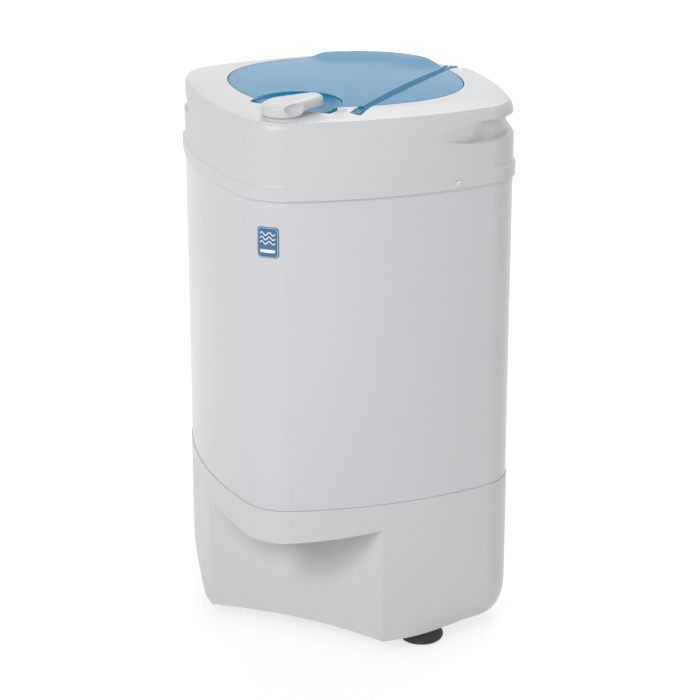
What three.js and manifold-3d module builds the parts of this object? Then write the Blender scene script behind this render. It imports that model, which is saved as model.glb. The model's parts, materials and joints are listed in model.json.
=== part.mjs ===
// Laundry spin dryer: a square-shouldered cabinet on four rubber feet, with a
// translucent lid hinged on a diagonal line, a lid lever that works the drum
// brake, and a perforated drum turned by a motor hung in the base.
//
// Millimetres, +Z up. The origin is on the floor, under the middle of the
// cabinet. The faces look along X and Y, and the front is the corner at
// (-X, -Y), where the lever and the basin recess are. Two diagonal axes are
// used for what sits on the corners: ACROSS points to the hinge corner
// (+X, -Y) and FRONT points to the front corner (-X, -Y).

import * as THREE from 'three';
import { mergeVertices } from 'three/addons/utils/BufferGeometryUtils.js';
import Module from 'manifold-3d';

const wasm = await Module();
wasm.setup();

// ---------------------------------------------------------------- sizes

const CLEARANCE = 0.3;            // gap between pieces that touch
const RUNNING_GAP = 0.5;          // gap round pieces that move

const LID_STEPS = 40;             // facets round the lid
const ROUND_STEPS = 32;           // round the tub, the mouth and their seals
const PLATE_STEPS = 36;           // round the service hole and its plate
const DISH_STEPS = 32;            // round the dish and the lever's puck
const BOW_STEPS = 8;              // along the recess's bowed chord and arch
const CAM_STEPS = 36;

// plan of the cabinet: four bowed sides joined by round corners
const WIDTH = 351;                // over the middles of two opposite sides
const HALF = WIDTH / 2;
const CORNER_RADIUS = 58.5;
const SIDE_RADIUS = 442;          // bow of each side
const RING_STEPS = 5;             // facets in one side, and in one corner

// heights
const FOOT_HEIGHT = 20.6;         // under the base
const BASE_HEIGHT = 172.4;        // of the moulded base
const RIM_INNER = 645.5;          // rim beside the lid
const RIM_FALL = 7.5;             // from there down to where the wall turns over
const COVER_HEIGHT = 90.5;        // of the moulded top, with its skirt
const SKIRT_HEIGHT = 16;
const SHEET_LAP = 11;             // cabinet sheet inside the skirt
const BASE_TOP = FOOT_HEIGHT + BASE_HEIGHT;
const RIM_EDGE = RIM_INNER - RIM_FALL;
const SKIRT_BOTTOM = RIM_INNER - COVER_HEIGHT;
const SKIRT_TOP = SKIRT_BOTTOM + SKIRT_HEIGHT;
const CABINET_TOP = SKIRT_BOTTOM + SHEET_LAP;

// walls
const PLASTIC_WALL = 3;
const SHEET_WALL = 1.2;
const WALL_INSET = 1.2;           // upper wall behind the base's widest line
const SHEET_INSET = 1;
const SKIRT_STEP = 3.2;           // how far the skirt stands out of the wall
const DECK_THICKNESS = 4;
const SPIGOT_HEIGHT = 12;         // rim of the base inside the cabinet sheet
const BASE_TUCK = 14;             // how far the base's foot draws in
const WALL_HALF = HALF - WALL_INSET;
const SKIRT_HALF = WALL_HALF + SKIRT_STEP;
const CABINET_HALF = HALF - SHEET_INSET;
const COVER_INSIDE = CABINET_HALF + CLEARANCE;
const BASE_INSIDE = HALF - PLASTIC_WALL;
const SPIGOT_HALF = CABINET_HALF - SHEET_WALL - CLEARANCE;
const FLOOR_TOP = FOOT_HEIGHT + PLASTIC_WALL;
const DECK_BOTTOM = BASE_TOP - DECK_THICKNESS;

// basin recess in the front of the base
const RECESS_SETBACK = 42.5;
const RECESS_FACE = HALF - RECESS_SETBACK;   // along FRONT, at the recess's ends
const RECESS_EDGE = 0.6;          // its ends, short of the base's sides
const RECESS_HALF_WIDTH = HALF * Math.SQRT2 - RECESS_FACE - RECESS_EDGE;
const RECESS_BOW = 5;             // how much deeper its middle is
const OVERHANG = 39.6;            // base above the recess's middle
const ARCH_RISE = 8.2;            // of the overhang's lower edge, to its ends
const LIP_MIDDLE = BASE_TOP - OVERHANG;
const LIP_END = LIP_MIDDLE + ARCH_RISE;
const SCOOP_DEPTH = 34;
const SCOOP_MARGIN = 32.6;        // from its end to the recess's
const SCOOP_HALF_WIDTH = RECESS_HALF_WIDTH - SCOOP_MARGIN;
const SCOOP_HEIGHT = 78;

// hand grips under the rim, on the two side corners
const GRIP_DROP = 43.5;           // lower edge under the rim
const GRIP_BOTTOM = RIM_INNER - GRIP_DROP;
const GRIP_HEIGHT = 20;
const GRIP_DEPTH = 10;
const GRIP_HALF_WIDTH = 73;       // along the other diagonal
const GRIP_SAGITTA = 18;          // bow of its back wall

// lid, pane and lever dish
const LID_MARGIN = 41.5;          // from its round to the middle of a side
const LID_RADIUS = HALF - LID_MARGIN;
const LID_SQUARENESS = 3.5;       // how far its outline swells at the corners
const LID_CROWN = 2.2;
const LID_WALL = 2.6;
const LID_SKIRT = 7;
const LID_GAP = 0.9;
const LID_BEVEL = 0.8;
const LID_SEAT = RIM_INNER - LID_SKIRT - LID_WALL;   // ledge that the lid lies on
const PANE_WIDTH = 55;            // corner pane, from the hinge line to its round
const HINGE_OFFSET = LID_RADIUS - PANE_WIDTH;   // hinge line from the middle, along ACROSS
const HINGE_DEPTH = 4.6;          // hinge axis under the top of the lid
const HINGE_SLOPE = 45;           // degrees, the sides of the hinge groove
const HINGE_PIN_RADIUS = 1.25;
const HINGE_PIN_LENGTH = 14;
const HINGE_BARREL_RADIUS = 2.8;
const HINGE_BARREL_LENGTH = 10;
const HINGE_REACH = LID_RADIUS;   // hinge ears, each way along the groove
const HINGE_EAR = 7;              // width of the lid's ear
const PANE_EAR = 4;
const PIN_STAND = 5.5;            // how far a pin runs into the cover
const HINGE_Z = RIM_INNER - HINGE_DEPTH;
const EAR_TOP = HINGE_Z + HINGE_BARREL_RADIUS - 0.4;
const BARREL_MIDDLE = HINGE_REACH - HINGE_BARREL_LENGTH / 2;
const EAR_REACH = HINGE_REACH - HINGE_BARREL_LENGTH - RUNNING_GAP;
const PIN_MIDDLE = HINGE_REACH + PIN_STAND - HINGE_PIN_LENGTH / 2;
const FRONT_LOWERING = 8;         // rim lowered round the lever
const FRONT_LOWERING_HALF = 56;
const BACK_LOWERING = 7;          // and where the lid is lifted by hand
const BACK_LOWERING_HALF = 72;
const RIM_SLOPE = 8;              // degrees, of the lowered rims
const LIP_REACH = 6;              // lid's lifting lip, over the lowered rim
const LIP_RISE = 4.5;
const LIP_HALF_ANGLE = 31;        // degrees either side of the back corner

// lever
const LEVER_ACROSS = 6;
const LEVER_AHEAD = 33;           // its pivot in front of the lid's round
const LEVER_FRONT = LID_RADIUS + LEVER_AHEAD;
const LEVER_SWING = 62;           // degrees from locked to open
const LEVER_REST = 31;            // degrees from the middle line
const LEVER_LENGTH = 52;          // pivot to the middle of the thumb end
const LEVER_PUCK_RADIUS = 23;
const LEVER_TIP_RADIUS = 14;
const PAD_DROP = 9.9;             // pad that the lever turns on, under the rim
const ARM_LIFT = 3;               // lever's arm over the rim
const ARM_THICKNESS = 11.5;
const LEVER_PAD = RIM_INNER - PAD_DROP;
const LEVER_BOTTOM = LEVER_PAD + CLEARANCE;
const LEVER_ARM_BOTTOM = RIM_INNER + ARM_LIFT;
const LEVER_TOP = LEVER_ARM_BOTTOM + ARM_THICKNESS;
const UNDERCUT_FLARE = 7;         // where the puck runs out into the arm's underside
const THUMB_LENGTH = 24;          // scoop for the thumb, in the lever's side
const THUMB_WIDTH = 11;
const THUMB_DEPTH = 11;
const LEVER_CAP = 8;              // lever over the end of its shaft
const LEVER_SHAFT_RADIUS = 5;
const LEVER_SHAFT_DROP = 41.6;    // shaft and bush below the pad
const BUSH_DROP = 29.6;
const BUSH_RADIUS = 8;
const LEVER_SHAFT_BOTTOM = LEVER_PAD - LEVER_SHAFT_DROP;
const BUSH_BOTTOM = LEVER_PAD - BUSH_DROP;

// dish under the lever's thumb end
const DISH_RADIUS = 50;
const DISH_DEPTH = 7;
const DISH_ACROSS = 2;
const DISH_FRONT = LID_RADIUS - 7;
const DISH_FLOOR = RIM_INNER - DISH_DEPTH;
const DISH_EDGE = LEVER_FRONT - LEVER_PUCK_RADIUS - 2.5;   // its straight front edge

// mouth, tub and drum
const MOUTH_MARGIN = 39;          // ledge round the mouth, under the lid
const MOUTH_RADIUS = LID_RADIUS - MOUTH_MARGIN;
const THROAT_TOP = RIM_INNER - 21.5;   // cover's throat round the mouth
const TUB_MARGIN = 30.5;
const TUB_RADIUS = HALF - TUB_MARGIN;  // inside
const TUB_WALL = 2.5;
const TUB_TOP = SKIRT_TOP + 17;
const TUB_HOLE = 34;
const TUB_SEAT = BASE_TOP + CLEARANCE;
const TUB_FLOOR = TUB_SEAT + TUB_WALL;
const THROAT_BOTTOM = TUB_TOP + 8;
const SEAL_WIDTH = 4;
const SEAL_HEIGHT = 14;
const DRUM_GAP = 23;              // water's way between drum and tub
const DRUM_RADIUS = TUB_RADIUS - DRUM_GAP;   // outside
const DRUM_WALL = 1.2;
const DRUM_BOTTOM = BASE_TOP + 23;
const DRUM_TOP = TUB_TOP - 10;
const DRUM_MOUTH = MOUTH_RADIUS + 5;
const HOLE_RADIUS = 3.5;
const HOLE_ROWS = 4;
const HOLES_IN_ROW = 14;
const HOLE_MARGIN = 30;           // from the outer rows to the drum's ends
const BALANCE_HEIGHT = 13;
const HUB_BOSS_RADIUS = 16;
const HUB_FLANGE_RADIUS = 44;
const HUB_LOW = BASE_TOP - 1;
const SHAFT_RADIUS = 7;
const SHAFT_TOP = DRUM_BOTTOM + 20;

// feet and bottom plate
const FOOT_RADIUS = 26;
const FOOT_MARGIN = 43.8;
const FOOT_SIDE = HALF - FOOT_MARGIN;  // front feet, along ACROSS
const FOOT_FRONT = FOOT_SIDE / 2;
const FOOT_BACK_MARGIN = 75.5;
const FOOT_BACK = HALF - FOOT_BACK_MARGIN;   // rear feet, away from FRONT
const FOOT_BACK_SIDE = FOOT_BACK - 8;
const FOOT_BOSS_RADIUS = 15;
const FOOT_BOSS_HEIGHT = 31.4;
const FOOT_BOSS_TOP = FOOT_HEIGHT + FOOT_BOSS_HEIGHT;
const FOOT_STUD_RADIUS = 3;
const SERVICE_MARGIN = 79.5;
const SERVICE_RADIUS = HALF - SERVICE_MARGIN;   // way to the motor through the base's floor
const SERVICE_LEDGE = 5;          // each way, that the plate bears on
const PLATE_THICKNESS = 2.5;
const VENT_COUNT = 7;
const VENT_PITCH = 16;
const VENT_WIDTH = 5;
const VENT_MARGIN = 22;

// posts that the motor hangs from, and the ways through the deck
const POST_RADIUS = 12;
const POST_CIRCLE = SERVICE_RADIUS + 9;
const POST_COUNT = 3;
const POST_FIRST_ANGLE = 45;      // degrees
const POST_SCREW_RADIUS = 2.5;
const POST_HEIGHT = 43;
const POST_BOTTOM = BASE_TOP - POST_HEIGHT;
const DECK_HOLE_RADIUS = 60;
const DRAIN_FRONT = RECESS_FACE - RECESS_BOW;
const DRAIN_HOLE_RADIUS = 14;
const SPOUT_RADIUS = 10;
const HOSE_DROP = 20;             // hose below the deck
const CABLE_ACROSS = 26;
const CABLE_FRONT = TUB_RADIUS + 15;
const CABLE_HOLE_RADIUS = 3.5;
const GLAND_RADIUS = 7;           // opening for the mains lead, in the +Y side
const GLAND_RISE = 45.4;
const GLAND_HEIGHT = FOOT_HEIGHT + GLAND_RISE;

// motor, from the bracket down
const RUBBER_HEIGHT = 30;
const BRACKET_THICKNESS = 3;
const BRACKET_TOP = POST_BOTTOM - RUBBER_HEIGHT;
const BRACKET_BOTTOM = BRACKET_TOP - BRACKET_THICKNESS;
const BRACKET_RADIUS = 66;
const STATOR_RADIUS = 55;
const ROTOR_RADIUS = 30;
const AIR_GAP = 0.6;
const WINDING_HEIGHT = 9.5;
const CAP_RADIUS = 57;
const CAP_DEPTH = 16.4;
const BEARING_RADIUS = 14;
const BEARING_HEIGHT = 9.7;
const BEARING_SET = 12.4;         // bearing's outer face below the cap's
const STACK_HEIGHT = 40;
const STACK_HIGH = BRACKET_BOTTOM - CAP_DEPTH - 2 * CLEARANCE;
const STACK_LOW = STACK_HIGH - STACK_HEIGHT;
const SHAFT_BOTTOM = STACK_LOW - CAP_DEPTH + 1;

// brake
const BRAKE_DRUM_RADIUS = 38;
const BRAKE_DRUM_WALL = 3;
const BRAKE_DRUM_HEIGHT = 18;
const BRAKE_LOW = BRACKET_TOP + 8;
const BRAKE_HIGH = BRAKE_LOW + BRAKE_DRUM_HEIGHT;
const BRAKE_PIVOT_ACROSS = 50;
const BRAKE_PIVOT_FRONT = 29;
const BRAKE_PIVOT_RADIUS = 3.5;
const BRAKE_GAP = 2.8;            // shoe to drum while running
const ARM_WIDTH = 9;
const ARM_SHEET = 4;
const SHOE_LENGTH = 26;
const SHOE_THICKNESS = 9;
const SHOE_ANGLE = 30;            // degrees from FRONT towards ACROSS, of its middle

// cam, switch and cable on the lever's shaft
const CAM_LOW = LEVER_SHAFT_BOTTOM + 1;
const CAM_RADIUS = 13;
const CAM_THICKNESS = 3;
const CAM_ARM = 17;               // shaft to the cable's pin
const CAM_LEAD = 20;              // degrees of spiral before and after its swing
const CABLE_PIN_RADIUS = 1.5;
const CABLE_RADIUS = 2.5;
const SWITCH_TRAVEL = 3;
const SWITCH_LENGTH = 22;
const BUTTON_LENGTH = 9;
const BUTTON_HALF_WIDTH = 2;
const BUTTON_SHOWN = 5;           // of its length, outside the switch
const BUTTON_NEAR = CAM_RADIUS + CLEARANCE;
const SWITCH_NEAR = BUTTON_NEAR + BUTTON_SHOWN;

// small parts
const SCREW_RADIUS = 1.9;
const SCREW_HEAD_RADIUS = 3.6;
const SCREW_PLACE = 72;           // along a side, from its middle
const SCREW_HEIGHT = SKIRT_BOTTOM + 6;
const SCREW_TURNS = [Math.PI, -Math.PI / 2, 0];   // from the +Y side
const CAPACITOR_RADIUS = 17;
const CAPACITOR_HEIGHT = 70;
const CAPACITOR_BACK = SERVICE_RADIUS + 32;
const TERMINAL_PLACE = SERVICE_RADIUS + 30;

// the brake cable's sheath, as [across, front, height], from the lever to the brake
const CABLE_ROUTE = [
  [34, CABLE_FRONT + 8, CAM_LOW + 2], [36, CABLE_FRONT + 6, CAM_LOW - 10],
  [34, CABLE_FRONT + 3, SKIRT_BOTTOM + 5], [28, CABLE_FRONT, SKIRT_BOTTOM - 55],
  [CABLE_ACROSS, CABLE_FRONT, SKIRT_BOTTOM - 155], [CABLE_ACROSS, CABLE_FRONT, BASE_TOP + 107],
  [CABLE_ACROSS, CABLE_FRONT, BASE_TOP + 22], [CABLE_ACROSS, CABLE_FRONT, BASE_TOP + 3],
  [CABLE_ACROSS, CABLE_FRONT, BASE_TOP - 8], [CABLE_ACROSS + 1, CABLE_FRONT - 4, BASE_TOP - 18],
  [34, CABLE_FRONT - 30, BASE_TOP - 23], [42, 108, BASE_TOP - 25], [50, 92, BRAKE_HIGH + 16],
  [54, 82, BRAKE_HIGH + 2], [55, 76, BRAKE_HIGH - 10],
];

// ------------------------------------------------------- diagonal frame

const ACROSS = new THREE.Vector3(Math.SQRT1_2, -Math.SQRT1_2, 0);
const FRONT = new THREE.Vector3(-Math.SQRT1_2, -Math.SQRT1_2, 0);
const UP = new THREE.Vector3(0, 0, 1);
const degrees = THREE.MathUtils.degToRad;

function diagonal(across, front, z = 0) {
  return new THREE.Vector3(0, 0, z).addScaledVector(ACROSS, across).addScaledVector(FRONT, front);
}

// Turns a shape made with X along `xAxis` and Z up into the part's frame.
function turned(geometry, xAxis, place = new THREE.Vector3()) {
  const yAxis = new THREE.Vector3().crossVectors(UP, xAxis);
  const matrix = new THREE.Matrix4().makeBasis(xAxis, yAxis, UP).setPosition(place);
  return geometry.applyMatrix4(matrix);
}

// ------------------------------------------------- solids and cutting

function welded(geometry) {
  const bare = geometry.index ? geometry.toNonIndexed() : geometry.clone();
  for (const name of Object.keys(bare.attributes)) {
    if (name !== 'position') bare.deleteAttribute(name);
  }
  return mergeVertices(bare, 1e-4);
}

function signedVolume(points, triangles) {
  let sum = 0;
  const [a, b, c] = [new THREE.Vector3(), new THREE.Vector3(), new THREE.Vector3()];
  for (let i = 0; i < triangles.length; i += 3) {
    a.fromArray(points, 3 * triangles[i]);
    b.fromArray(points, 3 * triangles[i + 1]);
    c.fromArray(points, 3 * triangles[i + 2]);
    sum += a.dot(b.cross(c)) / 6;
  }
  return sum;
}

// A three.js geometry as a solid, with its faces pointing out.
function solid(geometry) {
  const merged = welded(geometry);
  const points = new Float32Array(merged.attributes.position.array);
  const corners = [];
  const index = merged.index.array;
  for (let i = 0; i < index.length; i += 3) {
    const [a, b, c] = [index[i], index[i + 1], index[i + 2]];
    if (a !== b && b !== c && c !== a) corners.push(a, b, c);
  }
  const triangles = new Uint32Array(corners);
  if (signedVolume(points, triangles) < 0) {
    for (let i = 0; i < triangles.length; i += 3) {
      [triangles[i + 1], triangles[i + 2]] = [triangles[i + 2], triangles[i + 1]];
    }
  }
  return new wasm.Manifold(new wasm.Mesh({ numProp: 3, vertProperties: points, triVerts: triangles }));
}

function shapeOf(body) {
  const mesh = body.getMesh();
  const geometry = new THREE.BufferGeometry();
  geometry.setAttribute('position', new THREE.BufferAttribute(new Float32Array(mesh.vertProperties), 3));
  geometry.setIndex(new THREE.BufferAttribute(new Uint32Array(mesh.triVerts), 1));
  geometry.computeVertexNormals();
  return geometry;
}

function join(first, ...rest) {
  return rest.reduce((whole, piece) => whole.add(piece), first);
}

function cut(first, ...rest) {
  return rest.reduce((whole, piece) => whole.subtract(piece), first);
}

// A stack of rings with the same number of points, closed at both ends.
function loft(rings) {
  const count = rings[0].length;
  const points = rings.flat();
  const faces = [];
  for (let level = 0; level + 1 < rings.length; level += 1) {
    for (let i = 0; i < count; i += 1) {
      const a = level * count + i;
      const b = level * count + (i + 1) % count;
      faces.push(a, b, b + count, a, b + count, a + count);
    }
  }
  for (const level of [0, rings.length - 1]) {
    const middle = rings[level].reduce((sum, p) => sum.add(p), new THREE.Vector3()).divideScalar(count);
    points.push(middle);
    for (let i = 0; i < count; i += 1) {
      const a = level * count + i;
      const b = level * count + (i + 1) % count;
      if (level === 0) faces.push(points.length - 1, b, a);
      else faces.push(points.length - 1, a, b);
    }
  }
  const geometry = new THREE.BufferGeometry().setFromPoints(points);
  geometry.setIndex(faces);
  return solid(geometry);
}

// A profile of [radius, height] pairs turned about a vertical axis.
function turn(profile, steps, place = new THREE.Vector3()) {
  const outline = profile.map(([radius, z]) => new THREE.Vector2(radius, z));
  const onAxis = profile[0][0] === 0 && profile.at(-1)[0] === 0;
  if (!onAxis) outline.push(outline[0].clone());
  const geometry = new THREE.LatheGeometry(outline, steps).rotateX(Math.PI / 2);
  return solid(geometry).translate(place.x, place.y, place.z);
}

function rod(radius, low, high, steps = 16, place = new THREE.Vector3()) {
  return turn([[0, low], [radius, low], [radius, high], [0, high]], steps, place);
}

function pipe(outer, inner, low, high, steps = 32, place = new THREE.Vector3()) {
  return turn([[inner, low], [outer, low], [outer, high], [inner, high]], steps, place);
}

// A box from its spans along X, Y and Z.
function block(xs, ys, zs) {
  const spans = [xs, ys, zs];
  const size = spans.map(([low, high]) => high - low);
  const middle = spans.map(([low, high]) => (high + low) / 2);
  return solid(new THREE.BoxGeometry(...size).translate(...middle));
}

// The same, with its first two spans along ACROSS and FRONT.
function diagonalBlock(across, front, zs) {
  const back = [-front[1], -front[0]];
  return turnedSolid(block(across, back, zs), ACROSS);
}

function turnedSolid(body, xAxis, place) {
  return solid(turned(shapeOf(body), xAxis, place));
}

// Lays a shape made about Z along Y instead, its top towards +Y.
function sideways(body, place, turnAbout = 0) {
  const shape = shapeOf(body).rotateX(-Math.PI / 2).translate(place.x, place.y, place.z);
  return solid(shape.rotateZ(turnAbout));
}

// ------------------------------------------------------ cabinet outline

// Points round the cabinet's plan, at a given half width over its sides.
function planRing(halfWidth, z) {
  const radius = Math.min(CORNER_RADIUS, halfWidth * 0.6) + (halfWidth - WIDTH / 2);
  const corner = Math.max(radius, 20);
  const bend = (SIDE_RADIUS - halfWidth) / (SIDE_RADIUS - corner);
  const sweep = Math.acos(bend / Math.SQRT2) - Math.PI / 4;
  const reach = (SIDE_RADIUS - corner) * Math.sin(sweep);
  const quarter = [];
  for (let i = 0; i < RING_STEPS; i += 1) {
    const angle = -sweep + (2 * sweep * i) / RING_STEPS;
    quarter.push([halfWidth - SIDE_RADIUS + SIDE_RADIUS * Math.cos(angle), SIDE_RADIUS * Math.sin(angle)]);
  }
  for (let i = 0; i < RING_STEPS; i += 1) {
    const angle = sweep + ((Math.PI / 2 - 2 * sweep) * i) / RING_STEPS;
    quarter.push([reach + corner * Math.cos(angle), reach + corner * Math.sin(angle)]);
  }
  const ring = [];
  for (let side = 0; side < 4; side += 1) {
    const [cos, sin] = [[1, 0], [0, 1], [-1, 0], [0, -1]][side];
    for (const [x, y] of quarter) ring.push(new THREE.Vector3(x * cos - y * sin, x * sin + y * cos, z));
  }
  return ring;
}

// A stack of cabinet rings from [half width, height] pairs.
function planStack(levels) {
  return loft(levels.map(([halfWidth, z]) => planRing(halfWidth, z)));
}

// ---------------------------------------------------------------- base

// Points of a bow from -halfWidth to halfWidth, `rise` away from its ends.
function bow(halfWidth, ends, rise) {
  const points = [];
  for (let i = 0; i <= BOW_STEPS; i += 1) {
    const t = (2 * i) / BOW_STEPS - 1;
    points.push(new THREE.Vector2(halfWidth * t, ends + rise * (1 - t * t)));
  }
  return points;
}

// A shape's outline pushed up by `depth`.
function extruded(points, depth) {
  return new THREE.ExtrudeGeometry(new THREE.Shape(points), { depth, bevelEnabled: false });
}

// The basin recess: a bowed chord across the front corner, under an arched
// overhang, with a round scoop in the middle. An inset makes it larger all
// round, which leaves a wall of that thickness behind it.
function recessTool(inset) {
  const halfWidth = RECESS_HALF_WIDTH + inset;
  const far = CORNER_RADIUS + WIDTH;
  const chord = bow(halfWidth, RECESS_FACE - inset, -RECESS_BOW);
  const plan = extruded([new THREE.Vector2(-halfWidth, far), ...chord, new THREE.Vector2(halfWidth, far)],
    BASE_TOP + inset).translate(0, 0, -inset);
  const low = -2 * inset - 1;
  const arch = bow(halfWidth + 1, LIP_END + inset, LIP_MIDDLE - LIP_END);
  const roof = extruded([new THREE.Vector2(-halfWidth - 1, low), ...arch, new THREE.Vector2(halfWidth + 1, low)],
    2 * far).rotateX(Math.PI / 2).translate(0, 2 * far, 0);
  const scoop = new THREE.SphereGeometry(1, 16, 10).rotateX(Math.PI / 2)
    .scale(SCOOP_HALF_WIDTH + inset, SCOOP_DEPTH + inset, SCOOP_HEIGHT + inset)
    .translate(0, RECESS_FACE - RECESS_BOW, LIP_MIDDLE);
  return facingFront(solid(plan).add(solid(scoop)).intersect(solid(roof)));
}

// Turns a shape drawn with X along ACROSS and Y along FRONT.
function facingFront(body, place = new THREE.Vector3()) {
  const matrix = new THREE.Matrix4().makeBasis(ACROSS, FRONT, UP).setPosition(place);
  return solid(shapeOf(body).applyMatrix4(matrix));
}

// The base's outside, drawn in towards the floor, `wall` inside its surface.
function baseForm(wall, low, high) {
  return planStack([[HALF - BASE_TUCK - wall, low], [HALF - 0.43 * BASE_TUCK - wall, low + 4],
    [HALF - 0.1 * BASE_TUCK - wall, low + BASE_TUCK], [HALF - wall, low + 2 * BASE_TUCK], [HALF - wall, high]]);
}

function baseHousing() {
  const hollow = baseForm(PLASTIC_WALL, FLOOR_TOP, DECK_BOTTOM).subtract(recessTool(PLASTIC_WALL));
  const rim = BASE_TOP + SPIGOT_HEIGHT;
  const spigot = cut(planStack([[SPIGOT_HALF, BASE_TOP - 1], [SPIGOT_HALF, rim]]),
    planStack([[SPIGOT_HALF - PLASTIC_WALL, BASE_TOP - 2], [SPIGOT_HALF - PLASTIC_WALL, rim + 1]]));
  const ledge = pipe(SERVICE_RADIUS + SERVICE_LEDGE, SERVICE_RADIUS - SERVICE_LEDGE, FLOOR_TOP - 1,
    FLOOR_TOP + PLASTIC_WALL, PLATE_STEPS);
  const bosses = footPlaces().map((place) => rod(FOOT_BOSS_RADIUS, FLOOR_TOP - 1, FOOT_BOSS_TOP, 20, place));
  const studs = footPlaces().map((place) => rod(FOOT_STUD_RADIUS, FOOT_HEIGHT - 1,
    FOOT_BOSS_TOP - DECK_THICKNESS, 10, place));
  const posts = postPlaces().map((place) => rod(POST_RADIUS, POST_BOTTOM, DECK_BOTTOM + 1, 20, place));
  const threads = postPlaces().map((place) => rod(POST_SCREW_RADIUS, POST_BOTTOM - 1,
    (POST_BOTTOM + DECK_BOTTOM) / 2, 10, place));
  const form = cut(baseForm(0, FOOT_HEIGHT, BASE_TOP), recessTool(0), hollow).add(spigot);
  const floored = join(form.subtract(rod(SERVICE_RADIUS, FOOT_HEIGHT - 1, FLOOR_TOP + 1, PLATE_STEPS)), ledge)
    .subtract(rod(SERVICE_RADIUS, FOOT_HEIGHT - 1, FLOOR_TOP, PLATE_STEPS));
  return cut(join(floored, ...bosses, ...posts), ...studs, ...threads,
    rod(DECK_HOLE_RADIUS, DECK_BOTTOM - 1, BASE_TOP + 1, ROUND_STEPS),
    rod(DRAIN_HOLE_RADIUS, DECK_BOTTOM - 1, BASE_TOP + 1, 20, drainPlace()),
    rod(SPOUT_RADIUS + CLEARANCE, LIP_MIDDLE - 1, LIP_END + 2 * PLASTIC_WALL, 16, drainPlace()),
    rod(CABLE_HOLE_RADIUS, DECK_BOTTOM - 1, BASE_TOP + 1, 12, cablePlace()),
    sideways(rod(GLAND_RADIUS, -4 * PLASTIC_WALL, 4 * PLASTIC_WALL, 16), glandPlace()));
}

// The round panel that closes the way to the motor, from below.
function bottomPlate() {
  const radius = SERVICE_RADIUS - CLEARANCE;
  const top = FLOOR_TOP - CLEARANCE;
  const plate = rod(radius, top - PLATE_THICKNESS, top, PLATE_STEPS);
  const vents = [];
  for (let i = 0; i < VENT_COUNT; i += 1) {
    const across = (i - (VENT_COUNT - 1) / 2) * VENT_PITCH;
    const half = Math.sqrt(radius * radius - across * across) - VENT_MARGIN;
    vents.push(diagonalBlock([across - VENT_WIDTH / 2, across + VENT_WIDTH / 2],
      [-half, half], [0, FLOOR_TOP + 1]));
  }
  return cut(plate, ...vents);
}

// ------------------------------------------------------ feet and posts

function footPlaces() {
  return [[FOOT_SIDE, FOOT_FRONT], [-FOOT_SIDE, FOOT_FRONT], [FOOT_BACK_SIDE, -FOOT_BACK],
    [-FOOT_BACK_SIDE, -FOOT_BACK]].map(([across, front]) => diagonal(across, front));
}

// A rubber foot moulded round the head of its stud.
function foot() {
  const top = FOOT_HEIGHT - CLEARANCE;
  const bowl = turn([[0, 0], [FOOT_RADIUS - 6, 0], [FOOT_RADIUS - 1.5, 2.5], [FOOT_RADIUS, 6],
    [FOOT_RADIUS - 2, 12], [FOOT_RADIUS - 5, top], [0, top]], 16);
  return bowl.add(rod(FOOT_STUD_RADIUS - CLEARANCE, top - 4, FOOT_BOSS_TOP - 8, 10));
}

function postPlaces() {
  return Array.from({ length: POST_COUNT }, (_, i) => {
    const angle = degrees(POST_FIRST_ANGLE + (360 * i) / POST_COUNT);
    return new THREE.Vector3(POST_CIRCLE * Math.cos(angle), POST_CIRCLE * Math.sin(angle), 0);
  });
}

function drainPlace() {
  return diagonal(0, DRAIN_FRONT);
}

function cablePlace() {
  return diagonal(CABLE_ACROSS, CABLE_FRONT);
}

function glandPlace() {
  return new THREE.Vector3(0, HALF - PLASTIC_WALL / 2, GLAND_HEIGHT);
}

// ------------------------------------------------------------- cabinet

function cabinetShell() {
  const low = BASE_TOP + CLEARANCE;
  const inside = CABINET_HALF - SHEET_WALL;
  return cut(planStack([[CABINET_HALF, low], [CABINET_HALF, CABINET_TOP]]),
    planStack([[inside, low - 1], [inside, CABINET_TOP + 1]]), ...screwHoles());
}

// ----------------------------------------------------------- top cover

// How far a direction lies inside the lifting lip, from 0 to 1.
function lipShare(angle) {
  const back = degrees(45);
  const away = Math.abs(Math.atan2(Math.sin(angle - back), Math.cos(angle - back)));
  return 1 - THREE.MathUtils.smoothstep(away, degrees(LIP_HALF_ANGLE - 6), degrees(LIP_HALF_ANGLE + 3));
}

// The lid's outline, a circle that swells a little to the corners. A lip above
// zero carries the lifting lip out, and up as far as that share of its rise.
function lidRing(offset, z, scale = 1, lip = 0, reach = 1) {
  const ring = [];
  for (let i = 0; i < LID_STEPS; i += 1) {
    const angle = (2 * Math.PI * i) / LID_STEPS;
    const share = reach * lipShare(angle);
    const round = LID_RADIUS - LID_SQUARENESS * Math.cos(4 * angle) + LIP_REACH * share;
    const radius = (round + offset) * scale;
    ring.push(new THREE.Vector3(radius * Math.cos(angle), radius * Math.sin(angle),
      z + LIP_RISE * share * lip));
  }
  return ring;
}

// Cuts the rim down between two of its corners, with sloping ends.
function loweringTool(halfWidth, depth, sign) {
  const run = 2.5 * depth;
  const outline = [[-halfWidth, 0], [halfWidth, 0], [halfWidth + run, run], [-halfWidth - run, run]];
  const wedge = extruded(outline.map(([x, y]) => new THREE.Vector2(x, y)), HALF);
  wedge.rotateX(Math.PI / 2).translate(0, HALF, 0);
  wedge.rotateX(-degrees(RIM_SLOPE)).translate(0, LID_RADIUS - LIP_REACH, RIM_INNER - depth);
  const tool = facingFront(solid(wedge));
  return sign > 0 ? tool : tool.rotate(0, 0, 180);
}

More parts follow.
